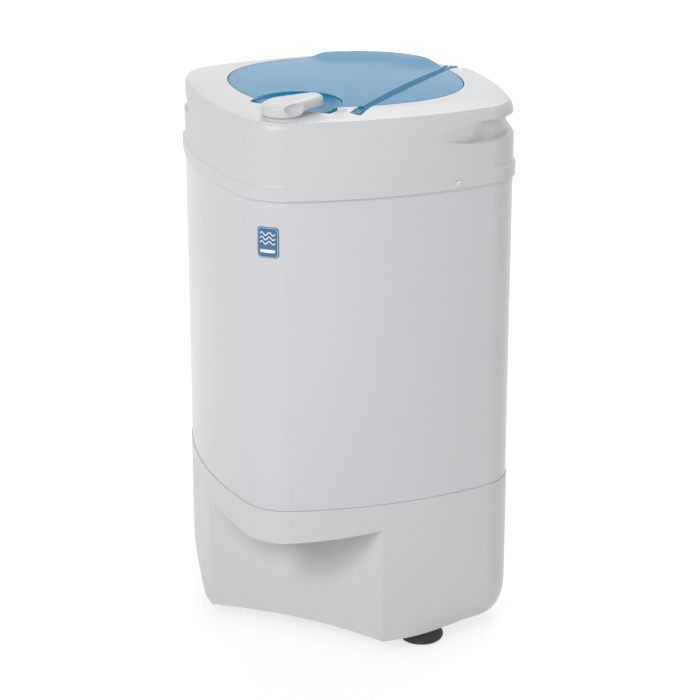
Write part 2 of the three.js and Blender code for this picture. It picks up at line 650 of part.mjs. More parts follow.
// The hand grip under the rim at one side corner, with a bowed back wall.
function gripTool(sign) {
  const high = GRIP_BOTTOM + GRIP_HEIGHT;
  const corner = Math.max(...planRing(WALL_HALF, 0).map((point) => point.length()));
  const tip = corner - GRIP_DEPTH;
  const radius = (GRIP_HALF_WIDTH ** 2 + GRIP_SAGITTA ** 2) / (2 * GRIP_SAGITTA);
  const zone = diagonalBlock([tip - 2 * GRIP_SAGITTA, corner + GRIP_DEPTH],
    [-2 * GRIP_HALF_WIDTH, 2 * GRIP_HALF_WIDTH], [GRIP_BOTTOM, high]);
  const tool = zone.subtract(rod(radius, GRIP_BOTTOM - 1, high + 1, 80, diagonal(tip - radius, 0)));
  return sign > 0 ? tool : tool.rotate(0, 0, 180);
}

// The moulded top's outside, from its skirt up to the rim beside the lid.
function coverForm() {
  const gripTop = GRIP_BOTTOM + GRIP_HEIGHT;
  return planStack([
    [SKIRT_HALF, SKIRT_BOTTOM], [SKIRT_HALF, SKIRT_TOP - 2], [WALL_HALF + 0.6, SKIRT_TOP + 1],
    [WALL_HALF, gripTop - FRONT_LOWERING], [WALL_HALF - 0.8, RIM_EDGE - 11],
    [WALL_HALF - 2.2, RIM_EDGE - 4], [WALL_HALF - 5, RIM_EDGE], [WALL_HALF - 9, RIM_EDGE + 2.2],
    [LID_RADIUS + 2, RIM_INNER],
  ]);
}

// Its inside: a ledge over the cabinet sheet, then room behind the grips.
function coverHollow() {
  const sheetTop = CABINET_TOP + CLEARANCE;
  const wall = WALL_HALF - PLASTIC_WALL;
  const roof = RIM_EDGE - FRONT_LOWERING - PLASTIC_WALL;
  return planStack([
    [COVER_INSIDE, SKIRT_BOTTOM - 1], [COVER_INSIDE, sheetTop], [wall, sheetTop + 1],
    [wall, GRIP_BOTTOM - GRIP_DEPTH - 4], [wall - GRIP_DEPTH, GRIP_BOTTOM - 4],
    [wall - GRIP_DEPTH, roof - 4], [LID_RADIUS - 12, roof - 1],
  ]);
}

// The sunk bed for the lid, its hinge ears and pins, and the dish.
function lidBed(seat) {
  const over = RIM_INNER + 1;
  const pins = 2 * (PIN_MIDDLE + HINGE_PIN_LENGTH / 2) + 1;
  const dish = rod(DISH_RADIUS + LID_GAP, seat, over, DISH_STEPS, diagonal(DISH_ACROSS, DISH_FRONT));
  const inFront = diagonalBlock([-LID_RADIUS, LID_RADIUS], [DISH_EDGE + CLEARANCE, 2 * LID_RADIUS],
    [seat - 1, over + 1]);
  return join(loft([lidRing(LID_GAP, seat), lidRing(LID_GAP, over)]),
    diagonalBlock([HINGE_OFFSET - HINGE_EAR - LID_GAP, HINGE_OFFSET + PANE_EAR + LID_GAP],
      [-HINGE_REACH - LID_GAP, HINGE_REACH + LID_GAP], [HINGE_Z - HINGE_BARREL_RADIUS - LID_GAP, over]),
    hingeRod(HINGE_PIN_RADIUS + CLEARANCE / 2, 0, pins, 8), dish.subtract(inFront));
}

// The funnel under the lid, the throat round the mouth and the rib that the
// tub's seal closes on.
function coverThroat(seat) {
  const wall = MOUTH_RADIUS + PLASTIC_WALL;
  const under = seat - PLASTIC_WALL - 1;
  const way = turn([[0, SKIRT_BOTTOM], [MOUTH_RADIUS, SKIRT_BOTTOM], [MOUTH_RADIUS, THROAT_TOP],
    [LID_RADIUS - 16, seat], [LID_RADIUS - 16, RIM_INNER], [0, RIM_INNER]], ROUND_STEPS);
  const funnel = turn([[MOUTH_RADIUS, THROAT_BOTTOM], [wall, THROAT_BOTTOM], [wall, THROAT_TOP - 1],
    [LID_RADIUS - 14, under], [LID_RADIUS - 4, under], [LID_RADIUS - 4, seat], [LID_RADIUS - 20, seat],
    [MOUTH_RADIUS, THROAT_TOP]], ROUND_STEPS);
  const ribOuter = TUB_RADIUS - SEAL_WIDTH;
  const rib = pipe(ribOuter, ribOuter - PLASTIC_WALL, TUB_TOP - SEAL_HEIGHT,
    RIM_EDGE - FRONT_LOWERING - 2, ROUND_STEPS);
  return { way, walls: cut(join(funnel, rib), way) };
}

function topCover() {
  const seat = LID_SEAT - CLEARANCE;
  const { way, walls } = coverThroat(seat);
  const shell = cut(coverForm(), coverHollow(), way).add(walls);
  const opened = cut(shell, lidBed(seat), gripTool(1), gripTool(-1),
    loweringTool(FRONT_LOWERING_HALF, FRONT_LOWERING, 1),
    loweringTool(BACK_LOWERING_HALF, BACK_LOWERING, -1));
  const place = leverPlace();
  const pad = rod(LEVER_PUCK_RADIUS + 0.5, RIM_EDGE - FRONT_LOWERING - 5, LEVER_PAD, DISH_STEPS, place);
  const socket = rod(BUSH_RADIUS + PLASTIC_WALL, BUSH_BOTTOM, LEVER_PAD - 1, 20, place);
  return cut(join(opened, pad, socket), rod(BUSH_RADIUS, BUSH_BOTTOM - 1, LEVER_PAD + 1, 20, place),
    ...screwHoles());
}

// ------------------------------------------------- lid, pane and dish

// Removes what lies past the hinge line and above its groove's slope. A side of
// 1 takes the hinge corner's side away, and -1 the lid's.
function grooveTool(side) {
  const near = -side * CLEARANCE;
  const height = 3 * LID_SKIRT;
  const run = height / Math.tan(degrees(HINGE_SLOPE));
  const far = side * 3 * LID_RADIUS;
  const length = 4 * LID_RADIUS;
  const outline = [[near, -height], [near, 0], [near - side * run, height], [far, height], [far, -height]];
  const prism = extruded(outline.map(([x, y]) => new THREE.Vector2(x, y)), length);
  prism.rotateX(Math.PI / 2).translate(HINGE_OFFSET, length / 2, HINGE_Z);
  return facingFront(solid(prism));
}

// The lid and pane as one crowned shell, before they are cut apart.
function lidBlank(offset, drop, low) {
  const top = RIM_INNER - drop;
  const rings = [lidRing(offset, low), lidRing(offset, top - LID_BEVEL, 1, 1),
    lidRing(offset - LID_BEVEL, top, 1, 1)];
  for (const scale of [0.86, 0.62, 0.3, 0.03]) {
    const lip = THREE.MathUtils.smoothstep(scale, 0.6, 1);
    rings.push(lidRing(offset, top + LID_CROWN * (1 - scale * scale), scale, lip));
  }
  return loft(rings);
}

// The ear that carries the groove out past the round of the lid or pane.
function hingeEar(from, to, reach) {
  return diagonalBlock([HINGE_OFFSET + from, HINGE_OFFSET + to], [-reach, reach],
    [HINGE_Z - HINGE_PIN_RADIUS, EAR_TOP]);
}

function hingeRod(radius, middle, length, steps = 12) {
  const cylinder = new THREE.CylinderGeometry(radius, radius, length, steps);
  return facingFront(solid(cylinder.translate(HINGE_OFFSET, middle, HINGE_Z)));
}

function dishRound(radius, low, high) {
  return rod(radius, low, high, DISH_STEPS, diagonal(DISH_ACROSS, DISH_FRONT));
}

function lid() {
  const top = RIM_INNER + LID_CROWN + LIP_RISE;
  const shell = cut(lidBlank(0, 0, LID_SEAT), lidBlank(-LID_WALL, LID_WALL, LID_SEAT - 1));
  const edge = lidBlank(0, 0, HINGE_Z - HINGE_PIN_RADIUS).intersect(diagonalBlock(
    [HINGE_OFFSET - HINGE_EAR, HINGE_OFFSET], [-HINGE_REACH, HINGE_REACH], [0, top]));
  const notch = dishRound(DISH_RADIUS + LID_GAP, LID_SEAT - 1, top + 1);
  const wall = lidBlank(0, 0, LID_SEAT).intersect(cut(
    dishRound(DISH_RADIUS + LID_GAP + LID_WALL, LID_SEAT, top), notch));
  const body = cut(join(shell, edge, wall, hingeEar(-HINGE_EAR, 0, HINGE_REACH)), grooveTool(1), notch);
  const barrels = [-1, 1].map((end) => hingeRod(HINGE_BARREL_RADIUS, end * BARREL_MIDDLE, HINGE_BARREL_LENGTH));
  const holes = [-1, 1].map((end) => hingeRod(HINGE_PIN_RADIUS + CLEARANCE, end * PIN_MIDDLE,
    HINGE_PIN_LENGTH + 1, 8));
  return largest(cut(join(body, ...barrels), ...holes));
}

function cornerPane() {
  const shell = cut(lidBlank(0, 0, LID_SEAT), lidBlank(-LID_WALL, LID_WALL, LID_SEAT - 1));
  const edge = lidBlank(0, 0, LID_SEAT).intersect(diagonalBlock(
    [HINGE_OFFSET, HINGE_OFFSET + PANE_EAR], [-EAR_REACH, EAR_REACH], [0, RIM_INNER + LID_CROWN]));
  return largest(cut(join(shell, edge, hingeEar(0, PANE_EAR, EAR_REACH)), grooveTool(-1)));
}

// The biggest of the bodies that a cut leaves.
function largest(body) {
  return body.decompose().reduce((a, b) => (b.volume() > a.volume() ? b : a));
}

// A fixed dish in front of the lid, that the lever's thumb end swings over.
function leverDish() {
  const blank = dishRound(DISH_RADIUS, LID_SEAT, RIM_INNER);
  const place = diagonal(DISH_ACROSS, DISH_FRONT);
  const bowl = turn([[0, DISH_FLOOR], [DISH_RADIUS - 16, DISH_FLOOR], [DISH_RADIUS - 8, DISH_FLOOR + 1.6],
    [DISH_RADIUS - 4.5, DISH_FLOOR + 4], [DISH_RADIUS - 3, RIM_INNER + 1], [0, RIM_INNER + 1]],
  DISH_STEPS, place);
  const open = diagonalBlock([-LID_RADIUS, LID_RADIUS], [DISH_FRONT + 4, 2 * LID_RADIUS],
    [DISH_FLOOR, RIM_INNER + 1]);
  const front = diagonalBlock([-LID_RADIUS, LID_RADIUS], [DISH_EDGE, 2 * LID_RADIUS],
    [LID_SEAT - 1, RIM_INNER + 1]);
  return cut(blank, bowl, open, front);
}

// --------------------------------------------------------------- lever

// The lever's plan about its pivot: two rounds and the straight sides between.
function leverPlan(offset, z) {
  const root = LEVER_PUCK_RADIUS + offset;
  const tip = LEVER_TIP_RADIUS + offset;
  const lean = Math.acos((root - tip) / LEVER_LENGTH);
  const steps = 8;
  const arc = (radius, from, to, x) => Array.from({ length: steps + 1 }, (_, i) => {
    const angle = from + ((to - from) * i) / steps;
    return new THREE.Vector3(x + radius * Math.cos(angle), radius * Math.sin(angle), z);
  });
  return [...arc(tip, -lean, lean, LEVER_LENGTH), ...arc(root, lean, 2 * Math.PI - lean, 0)];
}

function leverPlace() {
  return diagonal(LEVER_ACROSS, LEVER_FRONT);
}

function leverDirection() {
  const angle = degrees(LEVER_REST);
  return new THREE.Vector3().addScaledVector(FRONT, -Math.cos(angle)).addScaledVector(ACROSS, Math.sin(angle));
}

// Places a shape drawn about the lever's pivot with X towards the thumb end.
function onLever(body) {
  return turnedSolid(body, leverDirection(), leverPlace());
}

function lever() {
  const blank = loft([leverPlan(-1.5, LEVER_BOTTOM), leverPlan(0, LEVER_BOTTOM + 2),
    leverPlan(0, LEVER_TOP - 7), leverPlan(-1.2, LEVER_TOP - 3), leverPlan(-4, LEVER_TOP - 0.8),
    leverPlan(-8, LEVER_TOP)]);
  const radius = LEVER_PUCK_RADIUS - 0.5;
  const puck = turn([[0, LEVER_BOTTOM - 2], [radius, LEVER_BOTTOM - 2],
    [radius, LEVER_ARM_BOTTOM - UNDERCUT_FLARE],
    [radius + UNDERCUT_FLARE / 3, LEVER_ARM_BOTTOM - UNDERCUT_FLARE / 3],
    [radius + UNDERCUT_FLARE, LEVER_ARM_BOTTOM], [0, LEVER_ARM_BOTTOM]], DISH_STEPS);
  const reach = 2 * LEVER_LENGTH;
  const underArm = block([-reach, reach], [-reach, reach], [LEVER_BOTTOM - 1, LEVER_ARM_BOTTOM]).subtract(puck);
  const thumb = solid(new THREE.SphereGeometry(1, 16, 10).scale(THUMB_LENGTH, THUMB_WIDTH, THUMB_DEPTH)
    .translate(LEVER_LENGTH * 0.45, -LEVER_PUCK_RADIUS - 1, LEVER_TOP - 3));
  const socket = rod(LEVER_SHAFT_RADIUS + CLEARANCE, LEVER_BOTTOM - 1, LEVER_TOP - LEVER_CAP);
  return onLever(cut(blank, underArm, thumb, socket));
}

function leverBush() {
  return join(pipe(BUSH_RADIUS - CLEARANCE, LEVER_SHAFT_RADIUS + CLEARANCE, BUSH_BOTTOM - 1, LEVER_PAD, 20),
    pipe(BUSH_RADIUS + PLASTIC_WALL, LEVER_SHAFT_RADIUS + CLEARANCE, BUSH_BOTTOM - 2.5, BUSH_BOTTOM - CLEARANCE, 20));
}

function leverShaft() {
  return rod(LEVER_SHAFT_RADIUS, LEVER_SHAFT_BOTTOM, LEVER_TOP - LEVER_CAP - CLEARANCE);
}

// --------------------------------------------------------- tub and seals

function tub() {
  const outer = TUB_RADIUS + TUB_WALL;
  const body = turn([[TUB_HOLE, TUB_SEAT], [outer - 6, TUB_SEAT], [outer, TUB_SEAT + 6], [outer, TUB_TOP],
    [TUB_RADIUS, TUB_TOP], [TUB_RADIUS, TUB_SEAT + 8], [TUB_RADIUS - 5, TUB_FLOOR],
    [TUB_HOLE, TUB_FLOOR]], ROUND_STEPS);
  const place = drainPlace();
  const nipple = rod(SPOUT_RADIUS - 1, DECK_BOTTOM - 8, TUB_SEAT + 1, 16, place);
  const way = rod(SPOUT_RADIUS - 3, DECK_BOTTOM - 9, TUB_FLOOR + 1, 16, place);
  return cut(body.add(nipple), way);
}

function tubSeal() {
  const outer = TUB_RADIUS - CLEARANCE;
  const inner = TUB_RADIUS - SEAL_WIDTH + CLEARANCE;
  const low = TUB_TOP - SEAL_HEIGHT;
  return turn([[inner, low], [outer, low], [outer, TUB_TOP + CLEARANCE],
    [outer + TUB_WALL + CLEARANCE, TUB_TOP + CLEARANCE], [outer + TUB_WALL + CLEARANCE, TUB_TOP + 3],
    [inner, TUB_TOP + 3]], ROUND_STEPS);
}

function shaftSeal() {
  const lip = HUB_BOSS_RADIUS + RUNNING_GAP;
  return turn([[lip, TUB_FLOOR + 3], [lip + 2, TUB_FLOOR + 2], [TUB_HOLE - 8, TUB_FLOOR + CLEARANCE],
    [TUB_HOLE + 5, TUB_FLOOR + CLEARANCE], [TUB_HOLE + 5, TUB_FLOOR + 2.5],
    [TUB_HOLE - 7, TUB_FLOOR + 3], [lip + 3, TUB_FLOOR + 6], [lip, TUB_FLOOR + 6]], 20);
}

function drainHose() {
  const low = DECK_BOTTOM - HOSE_DROP;
  return pipe(SPOUT_RADIUS + 2.2, SPOUT_RADIUS - 1 + CLEARANCE, low, BASE_TOP - 2, 16, drainPlace());
}

function drainSpout() {
  const ceiling = LIP_MIDDLE + PLASTIC_WALL + CLEARANCE;
  const low = LIP_MIDDLE - 4;
  const neck = SPOUT_RADIUS - 1;
  return turn([[neck - 2, low], [SPOUT_RADIUS, low], [SPOUT_RADIUS, ceiling], [SPOUT_RADIUS + 6, ceiling],
    [SPOUT_RADIUS + 6, ceiling + 2], [neck, ceiling + 2], [neck, DECK_BOTTOM - 8 - CLEARANCE],
    [neck - 2, DECK_BOTTOM - 8 - CLEARANCE]], 16, drainPlace());
}

// ---------------------------------------------------------------- drum

function drum() {
  const inner = DRUM_RADIUS - DRUM_WALL;
  let body = turn([[HUB_BOSS_RADIUS, DRUM_BOTTOM], [DRUM_RADIUS - 10, DRUM_BOTTOM],
    [DRUM_RADIUS - 3, DRUM_BOTTOM + 3], [DRUM_RADIUS, DRUM_BOTTOM + 10], [DRUM_RADIUS, DRUM_TOP - 6],
    [DRUM_RADIUS - 4, DRUM_TOP], [DRUM_MOUTH, DRUM_TOP], [DRUM_MOUTH, DRUM_TOP - DRUM_WALL],
    [DRUM_RADIUS - 5, DRUM_TOP - DRUM_WALL], [inner, DRUM_TOP - 7], [inner, DRUM_BOTTOM + 10.5],
    [DRUM_RADIUS - 4, DRUM_BOTTOM + 4], [DRUM_RADIUS - 10.5, DRUM_BOTTOM + DRUM_WALL],
    [HUB_BOSS_RADIUS, DRUM_BOTTOM + DRUM_WALL]], HOLES_IN_ROW * 2);
  const pitch = (DRUM_TOP - DRUM_BOTTOM - 2 * HOLE_MARGIN) / (HOLE_ROWS - 1);
  for (let row = 0; row < HOLE_ROWS; row += 1) {
    for (let i = 0; i < HOLES_IN_ROW; i += 1) {
      const angle = (2 * Math.PI * (i + 0.25 + 0.5 * (row % 2))) / HOLES_IN_ROW;
      const punch = new THREE.CylinderGeometry(HOLE_RADIUS, HOLE_RADIUS, 10 * DRUM_WALL, 6);
      punch.translate(0, DRUM_RADIUS, DRUM_BOTTOM + HOLE_MARGIN + row * pitch).rotateZ(angle);
      body = body.subtract(solid(punch));
    }
  }
  return body;
}

function balanceRing() {
  const low = DRUM_TOP + CLEARANCE;
  return turn([[DRUM_MOUTH - 1, low], [DRUM_RADIUS - 5, low], [DRUM_RADIUS - 2, low + 3],
    [DRUM_RADIUS - 2, low + BALANCE_HEIGHT - 4], [DRUM_RADIUS - 6, low + BALANCE_HEIGHT],
    [DRUM_MOUTH + 3, low + BALANCE_HEIGHT], [DRUM_MOUTH - 1, low + BALANCE_HEIGHT - 4]], 28);
}

function drumHub() {
  const flange = DRUM_BOTTOM - CLEARANCE;
  return turn([[SHAFT_RADIUS + CLEARANCE, HUB_LOW], [HUB_BOSS_RADIUS, HUB_LOW],
    [HUB_BOSS_RADIUS, flange - 5], [HUB_FLANGE_RADIUS, flange - 3], [HUB_FLANGE_RADIUS, flange],
    [HUB_BOSS_RADIUS - CLEARANCE, flange], [HUB_BOSS_RADIUS - CLEARANCE, flange + 8],
    [SHAFT_RADIUS + CLEARANCE, flange + 8]], 24);
}

// The cone in the drum's floor, over the hub and the end of the shaft.
function drumCone() {
  const low = DRUM_BOTTOM + DRUM_WALL + CLEARANCE;
  const top = SHAFT_TOP + 9;
  const skin = 3;
  const knee = HUB_FLANGE_RADIUS / 2;
  const shoulder = HUB_BOSS_RADIUS - 4;
  return turn([[0, top - skin], [0, top], [shoulder, top - skin], [knee + 2, low + 16],
    [HUB_FLANGE_RADIUS - 8, low + 4], [HUB_FLANGE_RADIUS, low], [HUB_FLANGE_RADIUS - 4, low],
    [knee + 2, low + 12], [shoulder, top - 2.2 * skin], [shoulder - 3, top - skin]], 24);
}

function driveShaft() {
  return rod(SHAFT_RADIUS, SHAFT_BOTTOM, SHAFT_TOP, 20);
}

function hubNut() {
  const low = DRUM_BOTTOM + 8;
  return rod(SHAFT_RADIUS + 5, low, low + 7, 6).subtract(rod(SHAFT_RADIUS + CLEARANCE, low - 1, low + 8, 16));
}

// --------------------------------------------------------------- motor

function motorBracket() {
  const levels = [BRACKET_BOTTOM, BRACKET_TOP];
  const arms = postPlaces().map((post) => turnedSolid(
    block([0, POST_CIRCLE], [-POST_RADIUS, POST_RADIUS], levels), post.clone().normalize()));
  const pads = postPlaces().map((post) => rod(POST_RADIUS + 2, ...levels, 20, post));
  const holes = postPlaces().map((post) => rod(POST_SCREW_RADIUS + CLEARANCE, BRACKET_BOTTOM - 1,
    BRACKET_TOP + 1, 10, post));
  const plate = cut(join(rod(BRACKET_RADIUS, ...levels, 36), ...arms, ...pads), ...holes,
    rod(BEARING_RADIUS + 4, BRACKET_BOTTOM - 1, BRACKET_TOP + 1, 24));
  return plate.add(rod(BRAKE_PIVOT_RADIUS, BRACKET_TOP - 1, BRAKE_HIGH - 2, 12, brakePivot()));
}

function mountRubber() {
  const low = BRACKET_TOP + CLEARANCE;
  const high = POST_BOTTOM - CLEARANCE;
  const waist = (low + high) / 2;
  const bore = POST_SCREW_RADIUS + CLEARANCE;
  return turn([[bore, low], [POST_RADIUS + 1, low], [POST_RADIUS + 1, low + 4], [POST_RADIUS - 3, waist],
    [POST_RADIUS + 1, high - 4], [POST_RADIUS + 1, high], [bore, high]], 12);
}

function mountScrew() {
  const head = BRACKET_BOTTOM - CLEARANCE;
  return join(rod(POST_SCREW_RADIUS + 3, head - 3.5, head, 6),
    rod(POST_SCREW_RADIUS - CLEARANCE, head - 1, POST_BOTTOM + 16, 10));
}

function stator() {
  return pipe(STATOR_RADIUS, ROTOR_RADIUS + AIR_GAP, STACK_LOW, STACK_HIGH, 24);
}

function rotor() {
  return pipe(ROTOR_RADIUS, SHAFT_RADIUS + CLEARANCE, STACK_LOW, STACK_HIGH, 24);
}

// The windings at one end of the stator, seen as one lapped ring.
function winding(low) {
  const high = low + WINDING_HEIGHT;
  const inner = ROTOR_RADIUS + 3;
  const outer = STATOR_RADIUS - 5;
  return turn([[inner, low], [outer, low], [outer + 1, low + 3], [outer - 2, high - 1], [outer - 5, high],
    [inner + 4, high], [inner, high - 3]], 20);
}

// A motor end cap, drawn opening downwards from its stator face.
function motorCap() {
  const seat = BEARING_RADIUS + CLEARANCE;
  return turn([[seat, 2], [seat + 5, 2], [seat + 5, CAP_DEPTH - 4], [CAP_RADIUS - 4, CAP_DEPTH - 4],
    [CAP_RADIUS - 4, CLEARANCE], [CAP_RADIUS, CLEARANCE], [CAP_RADIUS, CAP_DEPTH - 2],
    [CAP_RADIUS - 2, CAP_DEPTH], [SHAFT_RADIUS + 2, CAP_DEPTH], [SHAFT_RADIUS + 2, CAP_DEPTH - 2.4],
    [seat, CAP_DEPTH - 2.4]], 20);
}

function bearing() {
  return turn([[SHAFT_RADIUS + CLEARANCE, 0], [BEARING_RADIUS, 0], [BEARING_RADIUS, BEARING_HEIGHT],
    [SHAFT_RADIUS + CLEARANCE, BEARING_HEIGHT]], 20);
}

// --------------------------------------------------------------- brake

function brakeDrum() {
  const bore = SHAFT_RADIUS + CLEARANCE;
  const boss = SHAFT_RADIUS + 6;
  const inside = BRAKE_DRUM_RADIUS - BRAKE_DRUM_WALL;
  const web = BRAKE_LOW + BRAKE_DRUM_WALL;
  return turn([[bore, BRAKE_LOW], [BRAKE_DRUM_RADIUS, BRAKE_LOW], [BRAKE_DRUM_RADIUS, BRAKE_HIGH],
    [inside, BRAKE_HIGH], [inside, web], [boss, web], [boss, BRAKE_HIGH - 4], [bore, BRAKE_HIGH - 4]], 24);
}

function brakePivot() {
  return diagonal(BRAKE_PIVOT_ACROSS, BRAKE_PIVOT_FRONT);
}

// Where the shoe stands off the brake drum, a little way on from the arm's pivot.
function shoeFace(radius) {
  const angle = degrees(SHOE_ANGLE);
  return diagonal(radius * Math.sin(angle), radius * Math.cos(angle));
}

function bar(from, to, width, low, high) {
  const along = to.clone().sub(from);
  const strip = block([0, along.length()], [-width / 2, width / 2], [low, high]);
  return join(turnedSolid(strip, along.normalize(), from), rod(width / 2, low, high, 12, from),
    rod(width / 2, low, high, 12, to));
}

// A two-legged arm: one leg carries the shoe, and the cable pulls the other.
function brakeArm() {
  const low = BRAKE_LOW;
  const high = low + ARM_SHEET;
  const pivot = brakePivot();
  const shoe = shoeFace(BRAKE_DRUM_RADIUS + BRAKE_GAP + SHOE_THICKNESS);
  const lug = diagonal(BRAKE_PIVOT_ACROSS + 4, BRAKE_PIVOT_FRONT + 28);
  const body = join(bar(pivot, shoe, ARM_WIDTH, low, high), bar(pivot, lug, ARM_WIDTH, low, high),
    rod(BRAKE_PIVOT_RADIUS + 4, low - 3, high + 3, 16, pivot));
  return cut(body, rod(BRAKE_PIVOT_RADIUS + CLEARANCE, low - 4, high + 4, 12, pivot),
    rod(CABLE_PIN_RADIUS, low - 1, high + 1, 8, lug));
}

function brakeShoe() {
  const low = BRAKE_LOW + ARM_SHEET + CLEARANCE;
  const inner = BRAKE_DRUM_RADIUS + BRAKE_GAP;
  const ring = pipe(inner + SHOE_THICKNESS, inner, low, BRAKE_HIGH - 2, 48);
  return ring.intersect(turnedSolid(block([0, 2 * inner], [-SHOE_LENGTH / 2, SHOE_LENGTH / 2],
    [low - 1, BRAKE_HIGH]), shoeFace(1)));
}

// Torsion spring that pushes the shoe on, drawn as its close-wound body.
function brakeSpring() {
  const low = BRACKET_TOP + CLEARANCE;
  return pipe(BRAKE_PIVOT_RADIUS + 3, BRAKE_PIVOT_RADIUS + CLEARANCE, low, BRAKE_LOW - 3 - CLEARANCE, 16,
    brakePivot());
}

// ---------------------------------------------------- lever works below

// Radius of the cam's edge that meets the button once the lever has opened by
// `opened` degrees.
function camRadius(opened) {
  const turn = THREE.MathUtils.clamp(opened, -CAM_LEAD, LEVER_SWING + CAM_LEAD);
  return CAM_RADIUS + (SWITCH_TRAVEL * turn) / LEVER_SWING;
}

// Arm on the lever's shaft that pulls the brake cable, with the spiral edge
// that pushes the lid switch. The edge that meets the button comes from the
// other way round as the lever turns, so its angles run backwards.
function leverCam() {
  const outline = Array.from({ length: CAM_STEPS }, (_, i) => {
    const opened = (360 * i) / CAM_STEPS - 180;
    const angle = -degrees(opened);
    return new THREE.Vector2(Math.cos(angle), Math.sin(angle)).multiplyScalar(camRadius(opened));
  });
  const high = CAM_LOW + CAM_THICKNESS;
  const bossHigh = BUSH_BOTTOM - 2 * CAM_THICKNESS;
  const disc = solid(extruded(outline, CAM_THICKNESS).translate(0, 0, CAM_LOW));
  const pin = new THREE.Vector3(0, CAM_ARM, 0);
  return onCam(cut(join(disc, rod(LEVER_SHAFT_RADIUS + 3, CAM_LOW, bossHigh),
    bar(new THREE.Vector3(), pin, LEVER_SHAFT_RADIUS + 3, CAM_LOW, high)),
  rod(LEVER_SHAFT_RADIUS + CLEARANCE, CAM_LOW - 1, bossHigh + 1),
  rod(CABLE_PIN_RADIUS, CAM_LOW - 1, high + 1, 8, pin)));
}

// Places a shape drawn about the lever's shaft with X towards the lid switch,
// which stands beside it in the corner of the cover.
function onCam(body) {
  return turnedSolid(body, ACROSS.clone().negate(), leverPlace());
}

function switchButton() {
  return onCam(block([BUTTON_NEAR, BUTTON_NEAR + BUTTON_LENGTH], [-BUTTON_HALF_WIDTH, BUTTON_HALF_WIDTH],
    [CAM_LOW, CAM_LOW + CAM_THICKNESS]));
}

function lidSwitch() {
  const half = BUTTON_HALF_WIDTH + CLEARANCE;
  const inside = SWITCH_NEAR + BUTTON_LENGTH - BUTTON_SHOWN + SWITCH_TRAVEL + 1;
  const box = block([SWITCH_NEAR, SWITCH_NEAR + SWITCH_LENGTH], [-9, 9], [CAM_LOW - 4, CAM_LOW + 12]);
  return onCam(box.subtract(block([SWITCH_NEAR - 1, inside], [-half, half],
    [CAM_LOW - CLEARANCE, CAM_LOW + CAM_THICKNESS + CLEARANCE])));
}

function brakeCable() {
  const route = CABLE_ROUTE.map(([across, front, z]) => diagonal(across, front, z));
  const path = new THREE.CatmullRomCurve3(route, false, 'centripetal');
  const section = new THREE.Shape(new THREE.Path().absarc(0, 0, CABLE_RADIUS, 0, 2 * Math.PI).getPoints(4));
  return solid(new THREE.ExtrudeGeometry(section, { extrudePath: path, steps: 30, bevelEnabled: false }));
}

// ---------------------------------------------------------- small parts

// A screw's place on the +Y side of the skirt, and the turn of the side there.
function skirtScrewPlace() {
  const bow = Math.asin(SCREW_PLACE / SIDE_RADIUS);
  const reach = SIDE_RADIUS * Math.cos(bow) - (SIDE_RADIUS - SKIRT_HALF);
  return { bow, place: new THREE.Vector3(-SCREW_PLACE, reach, SCREW_HEIGHT) };
}

function skirtScrewTool(radius, from, to, turnAbout, steps = 10) {
  const { bow, place } = skirtScrewPlace();
  const shape = shapeOf(rod(radius, from, to, steps)).rotateX(-Math.PI / 2).rotateZ(bow);
  shape.translate(place.x, place.y, place.z);
  return solid(shape.rotateZ(turnAbout));
}

function screwHoles() {
  return SCREW_TURNS.map((turnAbout) => skirtScrewTool(SCREW_RADIUS + CLEARANCE, -12, 4, turnAbout));
}

function coverScrew(turnAbout) {
  return join(skirtScrewTool(SCREW_HEAD_RADIUS, CLEARANCE, CLEARANCE + 1.8, turnAbout, 14),
    skirtScrewTool(SCREW_RADIUS, -8, CLEARANCE + 1, turnAbout));
}

function cordGland() {
  const half = PLASTIC_WALL / 2;
  const neck = GLAND_RADIUS - CLEARANCE;
  const bore = GLAND_RADIUS / 2;
  const inside = -half - 3 * CLEARANCE;
  const outside = half + CLEARANCE;
  return sideways(turn([[bore, inside - 3], [neck + 3, inside - 3], [neck + 3, inside], [neck, inside],
    [neck, outside], [neck + 2, outside], [neck + 1, outside + 1], [bore, outside + 1]], 16), glandPlace());
}

function capacitor() {
  const low = FLOOR_TOP + CLEARANCE;
  return turn([[0, low], [CAPACITOR_RADIUS, low], [CAPACITOR_RADIUS, low + CAPACITOR_HEIGHT - 2],
    [CAPACITOR_RADIUS - 2, low + CAPACITOR_HEIGHT], [0, low + CAPACITOR_HEIGHT]], 20);
}

function capacitorClip() {
  const low = FLOOR_TOP + 24;
  return pipe(CAPACITOR_RADIUS + CLEARANCE + 1.5, CAPACITOR_RADIUS + CLEARANCE, low, low + 14, 20);
}

function terminalBlock() {
  const low = FLOOR_TOP + CLEARANCE;
  return join(block([-22, 22], [-12, 12], [low, low + 14]), block([-16, 16], [-8, 8], [low + 13, low + 24]));
}

// ------------------------------------------------------------ assembly

function finish(color, roughness, metalness = 0, opacity = 1) {
  return { color, roughness, metalness, opacity, transparent: opacity < 1 };
}

const WHITE_PLASTIC = finish(0xe6e6e8, 0.42);
const WHITE_SHEET = finish(0xdedfe3, 0.35);
const BLUE_CLEAR = finish(0x4d9cc9, 0.2, 0, 0.75);
const BLACK_RUBBER = finish(0x0c0c0e, 0.75);
const GREY_RUBBER = finish(0x55585c, 0.8);
const GREY_PLASTIC = finish(0x8b9096, 0.5);
const STAINLESS = finish(0xc4c7ca, 0.28, 1);
const ZINC = finish(0xaeb2b6, 0.4, 1);
const COPPER = finish(0xb06a35, 0.4, 1);
const IRON = finish(0x6f7276, 0.5, 1);

const dryer = new THREE.Group();

